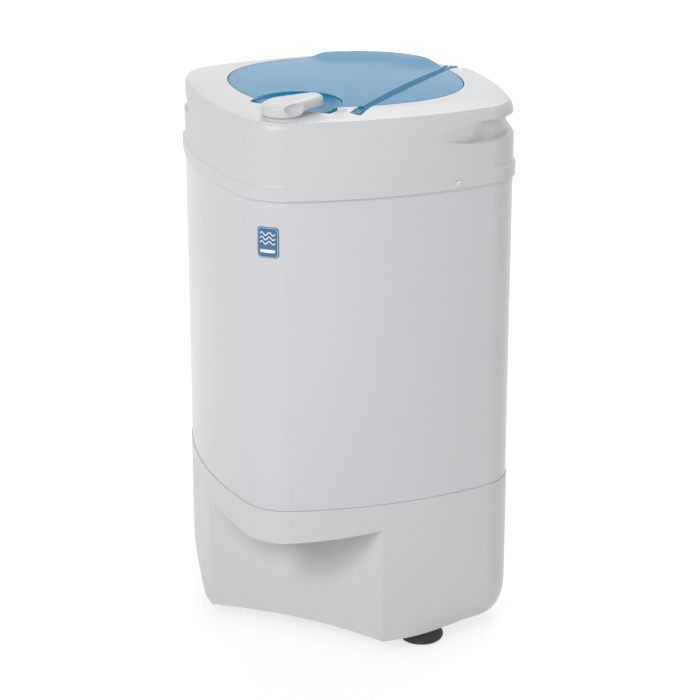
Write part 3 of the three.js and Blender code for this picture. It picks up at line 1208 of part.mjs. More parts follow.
function piece(name, body, look, place = new THREE.Vector3()) {
  const mesh = new THREE.Mesh(shapeOf(body), new THREE.MeshStandardMaterial(look));
  mesh.name = name;
  mesh.position.copy(place);
  dryer.add(mesh);
}

piece('base_housing', baseHousing(), WHITE_PLASTIC);
piece('bottom_plate', bottomPlate(), GREY_PLASTIC);
piece('cabinet_shell', cabinetShell(), WHITE_SHEET);
piece('top_cover', topCover(), WHITE_PLASTIC);
piece('lid', lid(), BLUE_CLEAR);
piece('corner_pane', cornerPane(), BLUE_CLEAR);
piece('lever_dish', leverDish(), BLUE_CLEAR);
[['front', 1], ['back', -1]].forEach(([end, sign]) => {
  piece(`lid_hinge_pin_${end}`, hingeRod(HINGE_PIN_RADIUS, sign * PIN_MIDDLE, HINGE_PIN_LENGTH, 8), STAINLESS);
});

piece('lever', lever(), WHITE_PLASTIC);
piece('lever_shaft', leverShaft(), STAINLESS, leverPlace());
piece('lever_bush', leverBush(), GREY_PLASTIC, leverPlace());
piece('lever_cam', leverCam(), GREY_PLASTIC);
piece('lid_switch', lidSwitch(), BLACK_RUBBER);
piece('switch_button', switchButton(), GREY_PLASTIC);

piece('outer_tub', tub(), GREY_PLASTIC);
piece('tub_seal', tubSeal(), GREY_RUBBER);
piece('shaft_seal', shaftSeal(), BLACK_RUBBER);
piece('drain_hose', drainHose(), BLACK_RUBBER);
piece('drain_spout', drainSpout(), WHITE_PLASTIC);

piece('drum', drum(), STAINLESS);
piece('balance_ring', balanceRing(), WHITE_PLASTIC);
piece('drum_hub', drumHub(), ZINC);
piece('drum_cone', drumCone(), WHITE_PLASTIC);
piece('hub_nut', hubNut(), ZINC);
piece('drive_shaft', driveShaft(), STAINLESS);

piece('motor_bracket', motorBracket(), ZINC);
postPlaces().forEach((place, i) => {
  piece(`mount_rubber_${i + 1}`, mountRubber(), BLACK_RUBBER, place);
  piece(`mount_screw_${i + 1}`, mountScrew(), ZINC, place);
});
piece('motor_stator', stator(), IRON);
piece('motor_rotor', rotor(), IRON);
piece('winding_top', winding(STACK_HIGH + CLEARANCE), COPPER);
piece('winding_bottom', winding(STACK_HIGH + CLEARANCE).mirror([0, 0, 1])
  .translate(0, 0, STACK_LOW + STACK_HIGH), COPPER);
piece('motor_cap_top', motorCap().translate(0, 0, STACK_HIGH), ZINC);
piece('motor_cap_bottom', motorCap().mirror([0, 0, 1]).translate(0, 0, STACK_LOW), ZINC);
piece('bearing_top', bearing().translate(0, 0, STACK_HIGH + CAP_DEPTH - BEARING_SET), STAINLESS);
piece('bearing_bottom', bearing().translate(0, 0, STACK_LOW - CAP_DEPTH + BEARING_SET - BEARING_HEIGHT), STAINLESS);

piece('brake_drum', brakeDrum(), IRON);
piece('brake_arm', brakeArm(), ZINC);
piece('brake_shoe', brakeShoe(), BLACK_RUBBER);
piece('brake_spring', brakeSpring(), STAINLESS);
piece('brake_cable', brakeCable(), BLACK_RUBBER);

footPlaces().forEach((place, i) => {
  piece(`foot_${i + 1}`, foot(), BLACK_RUBBER, place);
});
SCREW_TURNS.forEach((turnAbout, i) => piece(`cover_screw_${i + 1}`, coverScrew(turnAbout), ZINC));
piece('cord_gland', cordGland(), BLACK_RUBBER);
piece('capacitor', capacitor(), GREY_PLASTIC, diagonal(0, -CAPACITOR_BACK));
piece('capacitor_clip', capacitorClip(), ZINC, diagonal(0, -CAPACITOR_BACK));
piece('terminal_block', terminalBlock(), WHITE_PLASTIC, diagonal(-TERMINAL_PLACE, 0));

export default dryer;
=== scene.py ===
# %% [markdown]
# # Laundry spin dryer
# A white spin dryer about knee high: a painted sheet cabinet between a moulded
# base and a moulded top cover, a translucent blue lid hinged on a diagonal
# line, and a sculpted lever on the front corner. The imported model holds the
# sizes, joints and hidden works. This script gives every surface its finish
# and rebuilds the large mouldings with finer meshes.

# %% Load the frame
import json
import math

import bmesh
import bpy
import numpy as np
from mathutils import Matrix, Vector

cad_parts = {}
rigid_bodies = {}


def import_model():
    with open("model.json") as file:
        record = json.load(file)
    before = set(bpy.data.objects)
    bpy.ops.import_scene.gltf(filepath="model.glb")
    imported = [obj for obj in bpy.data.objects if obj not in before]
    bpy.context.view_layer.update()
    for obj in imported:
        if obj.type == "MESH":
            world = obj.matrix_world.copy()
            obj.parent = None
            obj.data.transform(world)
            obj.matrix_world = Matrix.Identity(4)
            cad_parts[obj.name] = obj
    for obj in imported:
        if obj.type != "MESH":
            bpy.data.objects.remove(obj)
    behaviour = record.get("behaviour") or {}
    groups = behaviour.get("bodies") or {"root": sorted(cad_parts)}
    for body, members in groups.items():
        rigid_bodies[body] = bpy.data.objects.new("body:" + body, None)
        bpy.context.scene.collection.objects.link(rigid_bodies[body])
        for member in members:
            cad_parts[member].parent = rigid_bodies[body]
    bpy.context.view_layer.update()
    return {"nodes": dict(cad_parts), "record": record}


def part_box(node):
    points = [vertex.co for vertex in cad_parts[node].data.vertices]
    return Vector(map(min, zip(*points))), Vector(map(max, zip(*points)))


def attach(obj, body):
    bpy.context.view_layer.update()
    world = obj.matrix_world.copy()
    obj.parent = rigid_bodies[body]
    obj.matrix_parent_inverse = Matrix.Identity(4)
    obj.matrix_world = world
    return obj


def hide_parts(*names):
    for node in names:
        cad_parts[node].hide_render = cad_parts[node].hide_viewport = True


for leftover in list(bpy.data.objects):
    bpy.data.objects.remove(leftover)

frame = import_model()
NODES = frame["nodes"]
MM = 0.001
print("nodes in the frame:", len(NODES))

# %% [markdown]
# ## Camera
# The camera stands low, looking at the front corner from slightly above. Its
# angles, distance and lens were solved from the upright edges and the seams
# of the cabinet in the photograph, which is 700 pixels square.

# %% Camera
AZIMUTH = math.radians(-19.078)
ELEVATION = math.radians(19.478)
DISTANCE = 2.6286
FOCAL_PIXELS = 2214.6
PICTURE = 700
SENSOR = 36.0
TARGET_HEIGHT = 0.3195
TARGET_RIGHT = 0.00547


def linked(name, data):
    """A new object with this data, in the scene."""
    made = bpy.data.objects.new(name, data)
    bpy.context.scene.collection.objects.link(made)
    return made


def add_camera():
    back = Vector((math.sin(AZIMUTH) * math.cos(ELEVATION),
                   -math.cos(AZIMUTH) * math.cos(ELEVATION), math.sin(ELEVATION)))
    right = Vector((math.cos(AZIMUTH), math.sin(AZIMUTH), 0))
    data = bpy.data.cameras.new("camera")
    data.sensor_width = SENSOR
    data.lens = FOCAL_PIXELS / PICTURE * SENSOR
    camera = linked("camera", data)
    camera.location = Vector((0, 0, TARGET_HEIGHT)) + right * TARGET_RIGHT + back * DISTANCE
    camera.rotation_euler = back.to_track_quat("Z", "Y").to_euler()
    bpy.context.scene.camera = camera
    return camera


print("camera at", [round(v, 3) for v in add_camera().location])

# %% [markdown]
# ## Sizes
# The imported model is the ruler. Heights and widths are read from its nodes in
# millimetres, so a piece that is rebuilt here fits the joints and screws that
# are already there.

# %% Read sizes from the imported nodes


def top_of(name):
    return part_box(name)[1].z / MM


def foot_of(name):
    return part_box(name)[0].z / MM


def half_of(name):
    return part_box(name)[1].x / MM


def middle_of(name):
    low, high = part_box(name)
    return (low + high) / (2 * MM)


print("height:", round(top_of("lever"), 1), "mm")

# %% [markdown]
# What a box can't tell, such as the bow of a side or how far the wall stands
# in from the skirt, is a named size of the real thing.

# %% Sizes in millimetres
GAP = 0.3
WALL = 3.0
SKIRT_STEP = 3.2
SKIRT_HEIGHT = 16
SHOULDER_DROP = 7.5
CORNER_RADIUS = 58.5
SIDE_RADIUS = 461.4
HALF = half_of("base_housing")
CABINET_HALF = half_of("cabinet_shell")
SKIRT_HALF = half_of("top_cover")
WALL_HALF = SKIRT_HALF - SKIRT_STEP
BASE_FOOT = foot_of("base_housing")
BASE_TOP = foot_of("cabinet_shell") - GAP
SKIRT_BOTTOM = foot_of("top_cover")
SKIRT_TOP = SKIRT_BOTTOM + SKIRT_HEIGHT
RIM = top_of("lever_dish")
RIM_EDGE = RIM - SHOULDER_DROP
SHEET_TOP = top_of("cabinet_shell")
LID_SEAT = foot_of("lid")
LEVER_TOP = top_of("lever")
HINGE_PIN = middle_of("lid_hinge_pin_front")
HINGE_OFFSET = (HINGE_PIN.x - HINGE_PIN.y) * math.sqrt(0.5)
HINGE_Z = HINGE_PIN.z
LID_RADIUS = HINGE_OFFSET + 55
print("half widths:", round(HALF, 1), round(CABINET_HALF, 1), round(SKIRT_HALF, 1))
print("levels:", [round(v, 1) for v in (BASE_FOOT, BASE_TOP, SKIRT_BOTTOM, RIM, LEVER_TOP)])

# %% [markdown]
# ## Mesh helpers
# The mouldings are stacks of plan rings, turned profiles and pushed outlines,
# cut into each other as the tool maker would. Work is done in millimetres,
# and a finished piece is scaled to metres inside its mesh, so that its object
# stays at the origin. The machine is laid out on its two diagonals, so these
# come first.

# %% Diagonals and plain meshes
ACROSS = Vector((math.sqrt(0.5), -math.sqrt(0.5), 0))
FRONT = Vector((-math.sqrt(0.5), -math.sqrt(0.5), 0))
ON_DIAGONALS = Matrix(((ACROSS.x, FRONT.x, 0, 0), (ACROSS.y, FRONT.y, 0, 0), (0, 0, 1, 0), (0, 0, 0, 1)))
UNPLACED = Matrix.Identity(4)
UPRIGHT = Matrix.Rotation(math.pi / 2, 4, "X")


def diagonal(across, front, z=0.0):
    """A point from its places along the two diagonals: the hinge corner's and the front corner's."""
    return ACROSS * across + FRONT * front + Vector((0, 0, z))


def outward(mesh):
    """Turns the faces out, by the sign of the volume that they enclose."""
    mesh.calc_loop_triangles()
    points = np.array([v.co for v in mesh.vertices])
    triangles = np.array([t.vertices for t in mesh.loop_triangles])
    a, b, c = (points[triangles[:, i]] for i in range(3))
    if np.einsum("ij,ij->i", a, np.cross(b, c)).sum() < 0:
        mesh.flip_normals()
    return mesh


def mesh_from(points, faces):
    mesh = bpy.data.meshes.new("form")
    mesh.from_pydata([tuple(p) for p in points], [], faces)
    return outward(mesh)


print("front corner's direction:", [round(v, 2) for v in FRONT])

# %% [markdown]
# A loft joins rings of points into a closed form. A lathe turns a profile
# about an upright line. Both close their own ends, so that the forms can be
# cut into each other as solids.

# %% Lofts and turned forms


def loft(rings):
    """A closed form from a stack of rings with the same number of points."""
    count = len(rings[0])
    faces = [[*range(count)][::-1], [*range((len(rings) - 1) * count, len(rings) * count)]]
    for level in range(len(rings) - 1):
        for i in range(count):
            a, b = level * count + i, level * count + (i + 1) % count
            faces.append([a, b, b + count, a + count])
    return mesh_from(np.concatenate(rings), faces)


def lathe(profile, steps=96, place=(0, 0, 0)):
    """A profile of (radius, height) turned about a vertical line."""
    points, rows, faces = [], [], []
    for radius, z in profile:
        angles = [0] if radius == 0 else [2 * math.pi * i / steps for i in range(steps)]
        rows.append([len(points) + i for i in range(len(angles))])
        points += [(place[0] + radius * math.cos(a), place[1] + radius * math.sin(a), z) for a in angles]
    pairs = list(zip(rows, rows[1:]))
    if profile[0][0] or profile[-1][0]:
        pairs.append((rows[-1], rows[0]))
    for low, high in pairs:
        for i in range(steps):
            j = (i + 1) % steps
            quad = [low[i % len(low)], low[j % len(low)], high[j % len(high)], high[i % len(high)]]
            face = list(dict.fromkeys(quad))
            if len(face) > 2:
                faces.append(face)
    return mesh_from(points, faces)


def rod(radius, low, high, place=(0, 0, 0), steps=64):
    return lathe([(0, low), (radius, low), (radius, high), (0, high)], steps, place)


print("a rod has", len(rod(1, 0, 1).polygons), "faces")

# %% [markdown]
# A prism pushes an outline straight up and then places it, and a box is the
# plainest prism. Placing a form can turn it inside out, so its faces are
# turned outwards again.

# %% Pushed outlines


def moved(mesh, matrix):
    mesh.transform(matrix)
    return outward(mesh)


def prism(outline, low, high, matrix=UNPLACED):
    """An outline in the XY plane pushed from low to high, then placed."""
    ring = np.array([(x, y, 0) for x, y in outline], float)
    return moved(loft([ring + (0, 0, low), ring + (0, 0, high)]), matrix)


def box_between(xs, ys, zs, matrix=UNPLACED):
    return prism([(xs[0], ys[0]), (xs[1], ys[0]), (xs[1], ys[1]), (xs[0], ys[1])], *zs, matrix)


print("a box has", len(box_between((0, 1), (0, 1), (0, 1)).polygons), "faces")

# %% [markdown]
# Forms are cut, joined and moulded with Boolean modifiers. The manifold
# solver is fast and leaves closed meshes, as long as it is given closed ones.
# The result is read back as a plain mesh and the workpieces are thrown away.

# %% Cutting and joining


def finished(work):
    """The mesh that an object's modifiers make of it."""
    return bpy.data.meshes.new_from_object(work.evaluated_get(bpy.context.evaluated_depsgraph_get()))


def combined(mesh, *tools, how="DIFFERENCE"):
    """The mesh with each tool cut away, joined on or used as a mould."""
    work = linked("work", mesh)
    others = [linked("tool", tool) for tool in tools]
    for other in others:
        modifier = work.modifiers.new("cut", "BOOLEAN")
        modifier.operation, modifier.solver, modifier.object = how, "MANIFOLD", other
    result = finished(work)
    for one in [work, *others]:
        bpy.data.objects.remove(one)
    return result


print("a drilled rod has", len(combined(rod(2, 0, 1), rod(1, -1, 2)).polygons), "faces")

# %% [markdown]
# Profiles of moulded plastic flow. This helper runs a soft curve through a
# few points and gives back as many more as a fine mesh needs.

# %% Soft curves


def smooth_curve(points, parts):
    """More points along a profile, on a soft curve through the given ones."""
    given = np.array(points, float)
    padded = np.vstack([2 * given[0] - given[1], given, 2 * given[-1] - given[-2]])
    made = []
    for i in range(1, len(padded) - 2):
        p0, p1, p2, p3 = padded[i - 1:i + 3]
        for t in np.arange(parts) / parts:
            made.append(0.5 * (2 * p1 + (p2 - p0) * t + (2 * p0 - 5 * p1 + 4 * p2 - p3) * t * t
                               + (3 * p1 - p0 - 3 * p2 + p3) * t ** 3))
    return [tuple(p) for p in made] + [tuple(given[-1])]


def eased(t):
    """Goes softly from 0 to 1."""
    t = np.clip(t, 0, 1)
    return t * t * (3 - 2 * t)


print("half way, eased:", eased(0.5))

# %% [markdown]
# A finished piece gets softened edges, because moulded plastic and folded
# sheet never end in a knife edge, and a line of light along an edge is what
# makes it look real. Then it is given its body, material and slot.

# %% Finishing a piece
SOFT_ANGLE = math.radians(32)


def shown(name, mesh, body, replaces=(), smooth_to=SOFT_ANGLE):
    """Puts a finished mesh into the scene under its name and rides it on its body."""
    mesh.name = name
    mesh.shade_smooth()
    mesh.set_sharp_from_angle(angle=smooth_to)
    obj = linked(name, mesh)
    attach(obj, body)
    if replaces:
        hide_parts(*replaces)
    print(name, len(mesh.polygons), "faces")
    return obj


def piece(name, mesh, material, body, replaces=(), edge=0.5, segments=2):
    """Scales a form in millimetres to metres, rounds its edges and shows it."""
    mesh.transform(Matrix.Scale(MM, 4))
    work = linked(name + "_work", mesh)
    if edge:
        bevel = work.modifiers.new("edges", "BEVEL")
        bevel.width, bevel.segments = edge * MM, segments
        bevel.limit_method, bevel.angle_limit = "ANGLE", SOFT_ANGLE
        bevel.miter_outer = "MITER_ARC"
    made = finished(work)
    bpy.data.objects.remove(work)
    made.materials.clear()
    made.materials.append(material)
    weighted = shown(name, made, body, replaces).modifiers.new("even_shading", "WEIGHTED_NORMAL")
    weighted.keep_sharp = True


print("edges sharper than", round(math.degrees(SOFT_ANGLE)), "degrees are rounded")

# %% [markdown]
# ## Finishes that several materials share
# Moulded plastic carries a fine spark-eroded grain, and no surface reflects
# quite evenly. Dust gathers near the floor. Each effect is a node group with
# its own dials, so one pattern can serve hard plastic, rubber and metal with
# different values. First come a few short ways to add nodes.

# %% Node helpers


def math_node(tree, operation, first, second=0):
    """A sum on two values, each a number or a socket."""
    node = tree.nodes.new("ShaderNodeMath")
    node.operation = operation
    for socket, value in zip(node.inputs, (first, second)):
        if isinstance(value, (int, float)):
            socket.default_value = value
        else:
            tree.links.new(value, socket)
    return node.outputs["Value"]


def ranged(tree, value, low, high, new_low, new_high, kind="LINEAR"):
    """Map Range, where each limit is a number or a socket."""
    node = tree.nodes.new("ShaderNodeMapRange")
    node.interpolation_type = kind
    tree.links.new(value, node.inputs["Value"])
    for label, limit in (("From Min", low), ("From Max", high), ("To Min", new_low), ("To Max", new_high)):
        if isinstance(limit, (int, float)):
            node.inputs[label].default_value = limit
        else:
            tree.links.new(limit, node.inputs[label])
    return node.outputs["Result"]


def object_coordinates(tree):
    return tree.nodes.new("ShaderNodeTexCoord").outputs["Object"]


print("materials before:", len(bpy.data.materials))

# %% [markdown]
# Nearly all the unevenness comes from noise textures. They are laid on object
# coordinates, which are metres in the frame, so the grain has its real size
# on every piece. A stretched noise gives lines.

# %% Noise and groups
NUMBER = "NodeSocketFloat"


def noise(tree, vector, scale, detail=3.0, stretch=None):
    """A noise texture on object coordinates, its scale a number or a socket."""
    if stretch:
        mapping = tree.nodes.new("ShaderNodeMapping")
        mapping.inputs["Scale"].default_value = stretch
        tree.links.new(vector, mapping.inputs["Vector"])
        vector = mapping.outputs["Vector"]
    node = tree.nodes.new("ShaderNodeTexNoise")
    node.inputs["Detail"].default_value = detail
    tree.links.new(vector, node.inputs["Vector"])
    if isinstance(scale, (int, float)):
        node.inputs["Scale"].default_value = scale
    else:
        tree.links.new(scale, node.inputs["Scale"])
    return node.outputs["Fac"]


def new_group(name, output, **dials):
    """A shader node group that turns dials, which are numbers, into one value."""
    tree = bpy.data.node_groups.new(name, "ShaderNodeTree")
    for label, value in dials.items():
        dial = tree.interface.new_socket(label.replace("_", " "), in_out="INPUT", socket_type=NUMBER)
        dial.default_value = value
    tree.interface.new_socket(output, in_out="OUTPUT", socket_type=NUMBER)
    return tree, tree.nodes.new("NodeGroupInput").outputs, tree.nodes.new("NodeGroupOutput").inputs[output]


print("groups before:", len(bpy.data.node_groups))

# %% [markdown]
# The grain is a height for the light to catch, made of two noises: one as
# fine as the tool's texture and one that waves slowly, as large flat
# mouldings and thin sheet always do.

# %% Grain group


def grain_group():
    tree, dial, height = new_group("surface_grain", "Height", Fine_Scale=900.0, Wave_Scale=6.0,
                                   Wave_Share=0.5)
    place = object_coordinates(tree)
    mix = tree.nodes.new("ShaderNodeMix")
    tree.links.new(dial["Wave Share"], mix.inputs["Factor"])
    tree.links.new(noise(tree, place, dial["Fine Scale"], 2), mix.inputs["A"])
    tree.links.new(noise(tree, place, dial["Wave Scale"], 1), mix.inputs["B"])
    tree.links.new(mix.outputs["Result"], height)
    return tree


GRAIN = grain_group()
print("group", GRAIN.name)

# %% [markdown]
# Gloss varies where hands and cloths have polished the surface. A cloudy
# noise moves the roughness between two dials. A denoised render treats
# roughness above and below about 0.27 differently and can show the border
# as patches, so each material keeps both dials on one side of it.

# %% Gloss group


def gloss_group():
    tree, dial, roughness = new_group("uneven_gloss", "Roughness", Scale=14.0, Polished=0.3, Dull=0.5)
    cloud = noise(tree, object_coordinates(tree), dial["Scale"], 5)
    tree.links.new(ranged(tree, cloud, 0.3, 0.7, dial["Polished"], dial["Dull"]), roughness)
    return tree


GLOSS = gloss_group()
print("group", GLOSS.name)

# %% [markdown]
# Dust and scuffs gather low down, where a machine on a wash-room floor is
# kicked and splashed, and thin out with height. Object coordinates are in
# the frame, so their Z is the height above the floor.

# %% Dust group


def dust_group():
    tree, dial, mask = new_group("floor_dust", "Mask", Reach=0.12, Amount=0.3)
    place = object_coordinates(tree)
    split = tree.nodes.new("ShaderNodeSeparateXYZ")
    tree.links.new(place, split.inputs["Vector"])
    low = ranged(tree, split.outputs["Z"], 0.0, dial["Reach"], 1.0, 0.0, "SMOOTHSTEP")
    patches = ranged(tree, noise(tree, place, 22, 6), 0.4, 0.7, 0.0, 1.0)
    both = math_node(tree, "MULTIPLY", low, patches)
    tree.links.new(math_node(tree, "MULTIPLY", both, dial["Amount"]), mask)
    return tree


DUST = dust_group()
DUST_COLOUR = (0.42, 0.40, 0.37)
print("group", DUST.name)

# %% [markdown]
# Turned and rolled metal has fine lines in one direction. A noise stretched
# along Z gives the drum's circling lines, and the same noise serves the
# windings and turned parts.

# %% Metal lines group


def lines_group():
    tree, dial, lines = new_group("tool_lines", "Lines", Scale=60.0)
    tree.links.new(noise(tree, object_coordinates(tree), dial["Scale"], 4, stretch=(0.3, 0.3, 18)), lines)
    return tree


LINES = lines_group()
print("group", LINES.name)

# %% [markdown]
# ## Materials
# Each material is one Principled BSDF fed by the groups. Its colour moves
# between two near tones, so that no surface is one flat colour, and dust
# draws it towards grey where the piece stands low.

# %% Colour of a material


def placed(tree, group, **values):
    """A group's node in a material, with its dials set."""
    node = tree.nodes.new("ShaderNodeGroup")
    node.node_tree = group
    for name, value in values.items():
        node.inputs[name.replace("_", " ")].default_value = value
    return node.outputs[0]


def mixed_colour(tree, factor, first, second):
    """Mixes two colours, the first one a colour or a socket."""
    mix = tree.nodes.new("ShaderNodeMix")
    mix.data_type = "RGBA"
    tree.links.new(factor, mix.inputs["Factor"])
    if isinstance(first, tuple):
        mix.inputs[6].default_value = (*first, 1)
    else:
        tree.links.new(first, mix.inputs[6])
    mix.inputs[7].default_value = (*second, 1)
    return mix.outputs[2]


def two_toned(tree, tones, dust):
    tone = ranged(tree, noise(tree, object_coordinates(tree), 5, 2), 0.2, 0.8, 0.0, 1.0, "SMOOTHSTEP")
    colour = mixed_colour(tree, tone, *tones)
    return mixed_colour(tree, placed(tree, DUST, Amount=dust), colour, DUST_COLOUR) if dust else colour


print("dust is", DUST_COLOUR)

# %% [markdown]
# The builder takes the tones, how the gloss varies, the grain and how strong
# its relief is. A bump node turns the grain into slopes for the light.

# %% Material builder
RELIEF = 0.0006


def material(name, tones, gloss, grain, dust=0.0, bump=0.1, lines=None, **shader):
    """A finish from two tones, (polished, dull) gloss and (fine, wave, share) grain."""
    made = bpy.data.materials.new(name)
    made.use_nodes = True
    tree = made.node_tree
    surface = tree.nodes["Principled BSDF"]
    tree.links.new(two_toned(tree, tones, dust), surface.inputs["Base Color"])
    tree.links.new(placed(tree, GLOSS, Polished=gloss[0], Dull=gloss[1]), surface.inputs["Roughness"])
    height = placed(tree, GRAIN, Fine_Scale=grain[0], Wave_Scale=grain[1], Wave_Share=grain[2])
    if lines:
        height = math_node(tree, "ADD", height, placed(tree, LINES, Scale=lines))
    relief = tree.nodes.new("ShaderNodeBump")
    relief.inputs["Strength"].default_value = bump
    relief.inputs["Distance"].default_value = RELIEF
    tree.links.new(height, relief.inputs["Height"])
    tree.links.new(relief.outputs["Normal"], surface.inputs["Normal"])
    for socket, value in shader.items():
        surface.inputs[socket.replace("_", " ")].default_value = value
    return made


print("relief up to", RELIEF / MM, "mm")

# %% [markdown]
# The mouldings are cool white polypropylene. The cabinet is painted sheet: a
# little glossier and bluer, with the slow waves of thin steel and a clear
# coat.

# %% White materials
white_plastic = material("white_plastic", ((0.71, 0.715, 0.73), (0.73, 0.735, 0.745)), (0.30, 0.40),
                         (1400, 5, 0.2), dust=0.08, bump=0.05)
white_sheet = material("white_sheet", ((0.70, 0.71, 0.73), (0.715, 0.725, 0.745)), (0.285, 0.33),
                       (160, 3, 0.5), dust=0.03, bump=0.012, Coat_Weight=0.1, Coat_Roughness=0.2)
print(white_plastic.name, "and", white_sheet.name)

# %% [markdown]
# Rubber is nearly black, dull and coarse, and takes the dust. The tub and
# other hidden mouldings are grey plastic.

# %% Rubber and grey plastic
black_rubber = material("black_rubber", ((0.012, 0.012, 0.013), (0.028, 0.028, 0.03)), (0.55, 0.8),
                        (500, 20, 0.3), dust=0.12, bump=0.35)
grey_rubber = material("grey_rubber", ((0.09, 0.095, 0.10), (0.13, 0.135, 0.14)), (0.55, 0.8),
                       (500, 20, 0.3), bump=0.3)
grey_plastic = material("grey_plastic", ((0.25, 0.27, 0.29), (0.31, 0.33, 0.35)), (0.35, 0.5),
                        (1200, 12, 0.3), dust=0.2, bump=0.15)
print(black_rubber.name, grey_rubber.name, grey_plastic.name)

# %% [markdown]
# The metals keep their full reflections. Stainless and iron carry the lines
# of rolling and turning, zinc is mottled, and copper shows as wound wire.

# %% Metals
stainless = material("stainless", ((0.60, 0.61, 0.62), (0.72, 0.73, 0.74)), (0.285, 0.38), (800, 10, 0.3),
                     bump=0.12, lines=60, Metallic=1.0)
zinc_steel = material("zinc_steel", ((0.50, 0.51, 0.52), (0.66, 0.66, 0.64)), (0.28, 0.48), (500, 30, 0.4),
                      bump=0.2, Metallic=1.0)
iron = material("iron", ((0.16, 0.165, 0.17), (0.25, 0.25, 0.25)), (0.4, 0.6), (400, 30, 0.4), bump=0.3,
                lines=300, Metallic=1.0)
copper = material("copper", ((0.62, 0.27, 0.12), (0.74, 0.36, 0.18)), (0.28, 0.42), (300, 20, 0.3), bump=0.5,
                  lines=400, Metallic=1.0)
print(stainless.name, zinc_steel.name, iron.name, copper.name)

# %% [markdown]
# The lid is tinted translucent plastic, a few millimetres thick. Light goes
# through it and scatters, so it looks milky blue. Part transmission on a
# clear blue base does this. Its reflections are held back, since the lid is
# seen at a low angle, where a full gloss would wash the blue out.

# %% Clear blue material
blue_clear = material("blue_clear", ((0.006, 0.35, 0.63), (0.012, 0.385, 0.68)), (0.18, 0.26), (300, 5, 0.5),
                      bump=0.02, IOR=1.49, Transmission_Weight=0.38, Specular_IOR_Level=0.12)
print("clear:", blue_clear.name)

# %% [markdown]
# The badge is a glossy blue plate under a thick clear coat, with a raised
# motif in satin silver.

# %% Badge materials
blue_badge = material("blue_badge", ((0.005, 0.13, 0.30), (0.008, 0.16, 0.34)), (0.12, 0.22), (900, 10, 0.4),
                      bump=0.05, Coat_Weight=0.6, Coat_Roughness=0.08)
badge_silver = material("badge_silver", ((0.66, 0.68, 0.70), (0.78, 0.79, 0.80)), (0.285, 0.35),
                        (900, 10, 0.4), bump=0.08, Metallic=0.9)
print("badge:", blue_badge.name, badge_silver.name)

# %% [markdown]
# ## Nodes shown as they are packed
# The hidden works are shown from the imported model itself, since their shape
# is complete there. Each only needs its finish: the slot that the record
# gives a node names the material.

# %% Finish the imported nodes
FINISHES = {"white_plastic": white_plastic, "white_sheet": white_sheet, "blue_clear": blue_clear,
            "black_rubber": black_rubber, "grey_rubber": grey_rubber, "grey_plastic": grey_plastic,
            "stainless": stainless, "zinc_steel": zinc_steel, "iron": iron, "copper": copper}


def finish_nodes():
    for part in frame["record"]["subparts"]:
        mesh = NODES[part["node"]].data
        mesh.materials.clear()
        mesh.materials.append(FINISHES[part["material_slot"]])


finish_nodes()
print("finished nodes:", sum(bool(n.data.materials) for n in NODES.values()))

# %% [markdown]
# ## Plan of the cabinet
# Seen from above the machine is a square with bowed sides and generous round
# corners. Every level of the base, cabinet and cover is this one outline at
# another half width, so a single function draws them all, finely enough for
# the silhouette to look round.

# %% Plan rings
SIDE_STEPS = 18
CORNER_STEPS = 22
TURN_OF_SIDE = [(1, 0), (0, 1), (-1, 0), (0, -1)]


def plan_ring(half, z):
    corner = max(min(CORNER_RADIUS, 0.6 * half) + half - HALF, 20)
    sweep = math.acos((SIDE_RADIUS - half) / (SIDE_RADIUS - corner) / math.sqrt(2)) - math.pi / 4
    reach = (SIDE_RADIUS - corner) * math.sin(sweep)
    side = np.linspace(-sweep, sweep, SIDE_STEPS, endpoint=False)
    bend = np.linspace(sweep, math.pi / 2 - sweep, CORNER_STEPS, endpoint=False)
    x = np.concatenate([half - SIDE_RADIUS + SIDE_RADIUS * np.cos(side), reach + corner * np.cos(bend)])
    y = np.concatenate([SIDE_RADIUS * np.sin(side), reach + corner * np.sin(bend)])
    return np.concatenate([np.stack([x * c - y * s, x * s + y * c, 0 * x + z], 1) for c, s in TURN_OF_SIDE])


def plan_stack(levels):
    return loft([plan_ring(half, z) for half, z in levels])


print("points round the plan:", len(plan_ring(HALF, 0)))

# %% [markdown]
# ## Cabinet sheet
# The grey-white band between the mouldings is one painted sheet wrapped round
# the machine. It is thin, so both of its faces are made. It tucks under the
# cover's skirt and slips over a spigot on the base.

# %% Cabinet
INSIDE_SHEET = CABINET_HALF - 1.2
sheet_form = combined(plan_stack([(CABINET_HALF, BASE_TOP + GAP), (CABINET_HALF, SHEET_TOP)]),
                      plan_stack([(INSIDE_SHEET, BASE_TOP - 5), (INSIDE_SHEET, SHEET_TOP + 5)]))
piece("cabinet_sheet", sheet_form, white_sheet, "cabinet", ["cabinet_shell"], edge=0.3)

# %% [markdown]
# ## Base moulding
# The base draws in towards the floor, in a soft turn that fades out towards
# the front corner. It is a solid form here. Its hollow is cut out of it
# later, which keeps the wall an even thickness.

# %% Base outside
BASE_TUCK, TUCK_HEIGHT = 14, 36
TUCK_ENDS, TUCK_FADE = 35, 85


def tuck_share(ring):
    """How far the foot draws in: fully at the back and side corners, not at all beside the recess."""
    ahead = -(ring[:, 0] + ring[:, 1]) * math.sqrt(0.5)
    return 1 - eased((ahead - TUCK_ENDS) / TUCK_FADE)[:, None]


def base_form(inset, low, high):
    """The base's outside, with a soft turn from its foot up to the wall."""
    turn = smooth_curve([(BASE_TUCK, low), (0.5 * BASE_TUCK, low + 7), (0.14 * BASE_TUCK, low + 20),
                         (0, low + TUCK_HEIGHT)], 5)
    plain = plan_ring(HALF - inset, 0)
    share = tuck_share(plain)
    rings = [(1 - share) * plain + share * plan_ring(HALF - tuck - inset, 0) + (0, 0, z) for tuck, z in turn]
    return loft([*rings, plain + (0, 0, high)])


print("foot tucked in by", BASE_TUCK, "mm over", TUCK_HEIGHT, "mm")

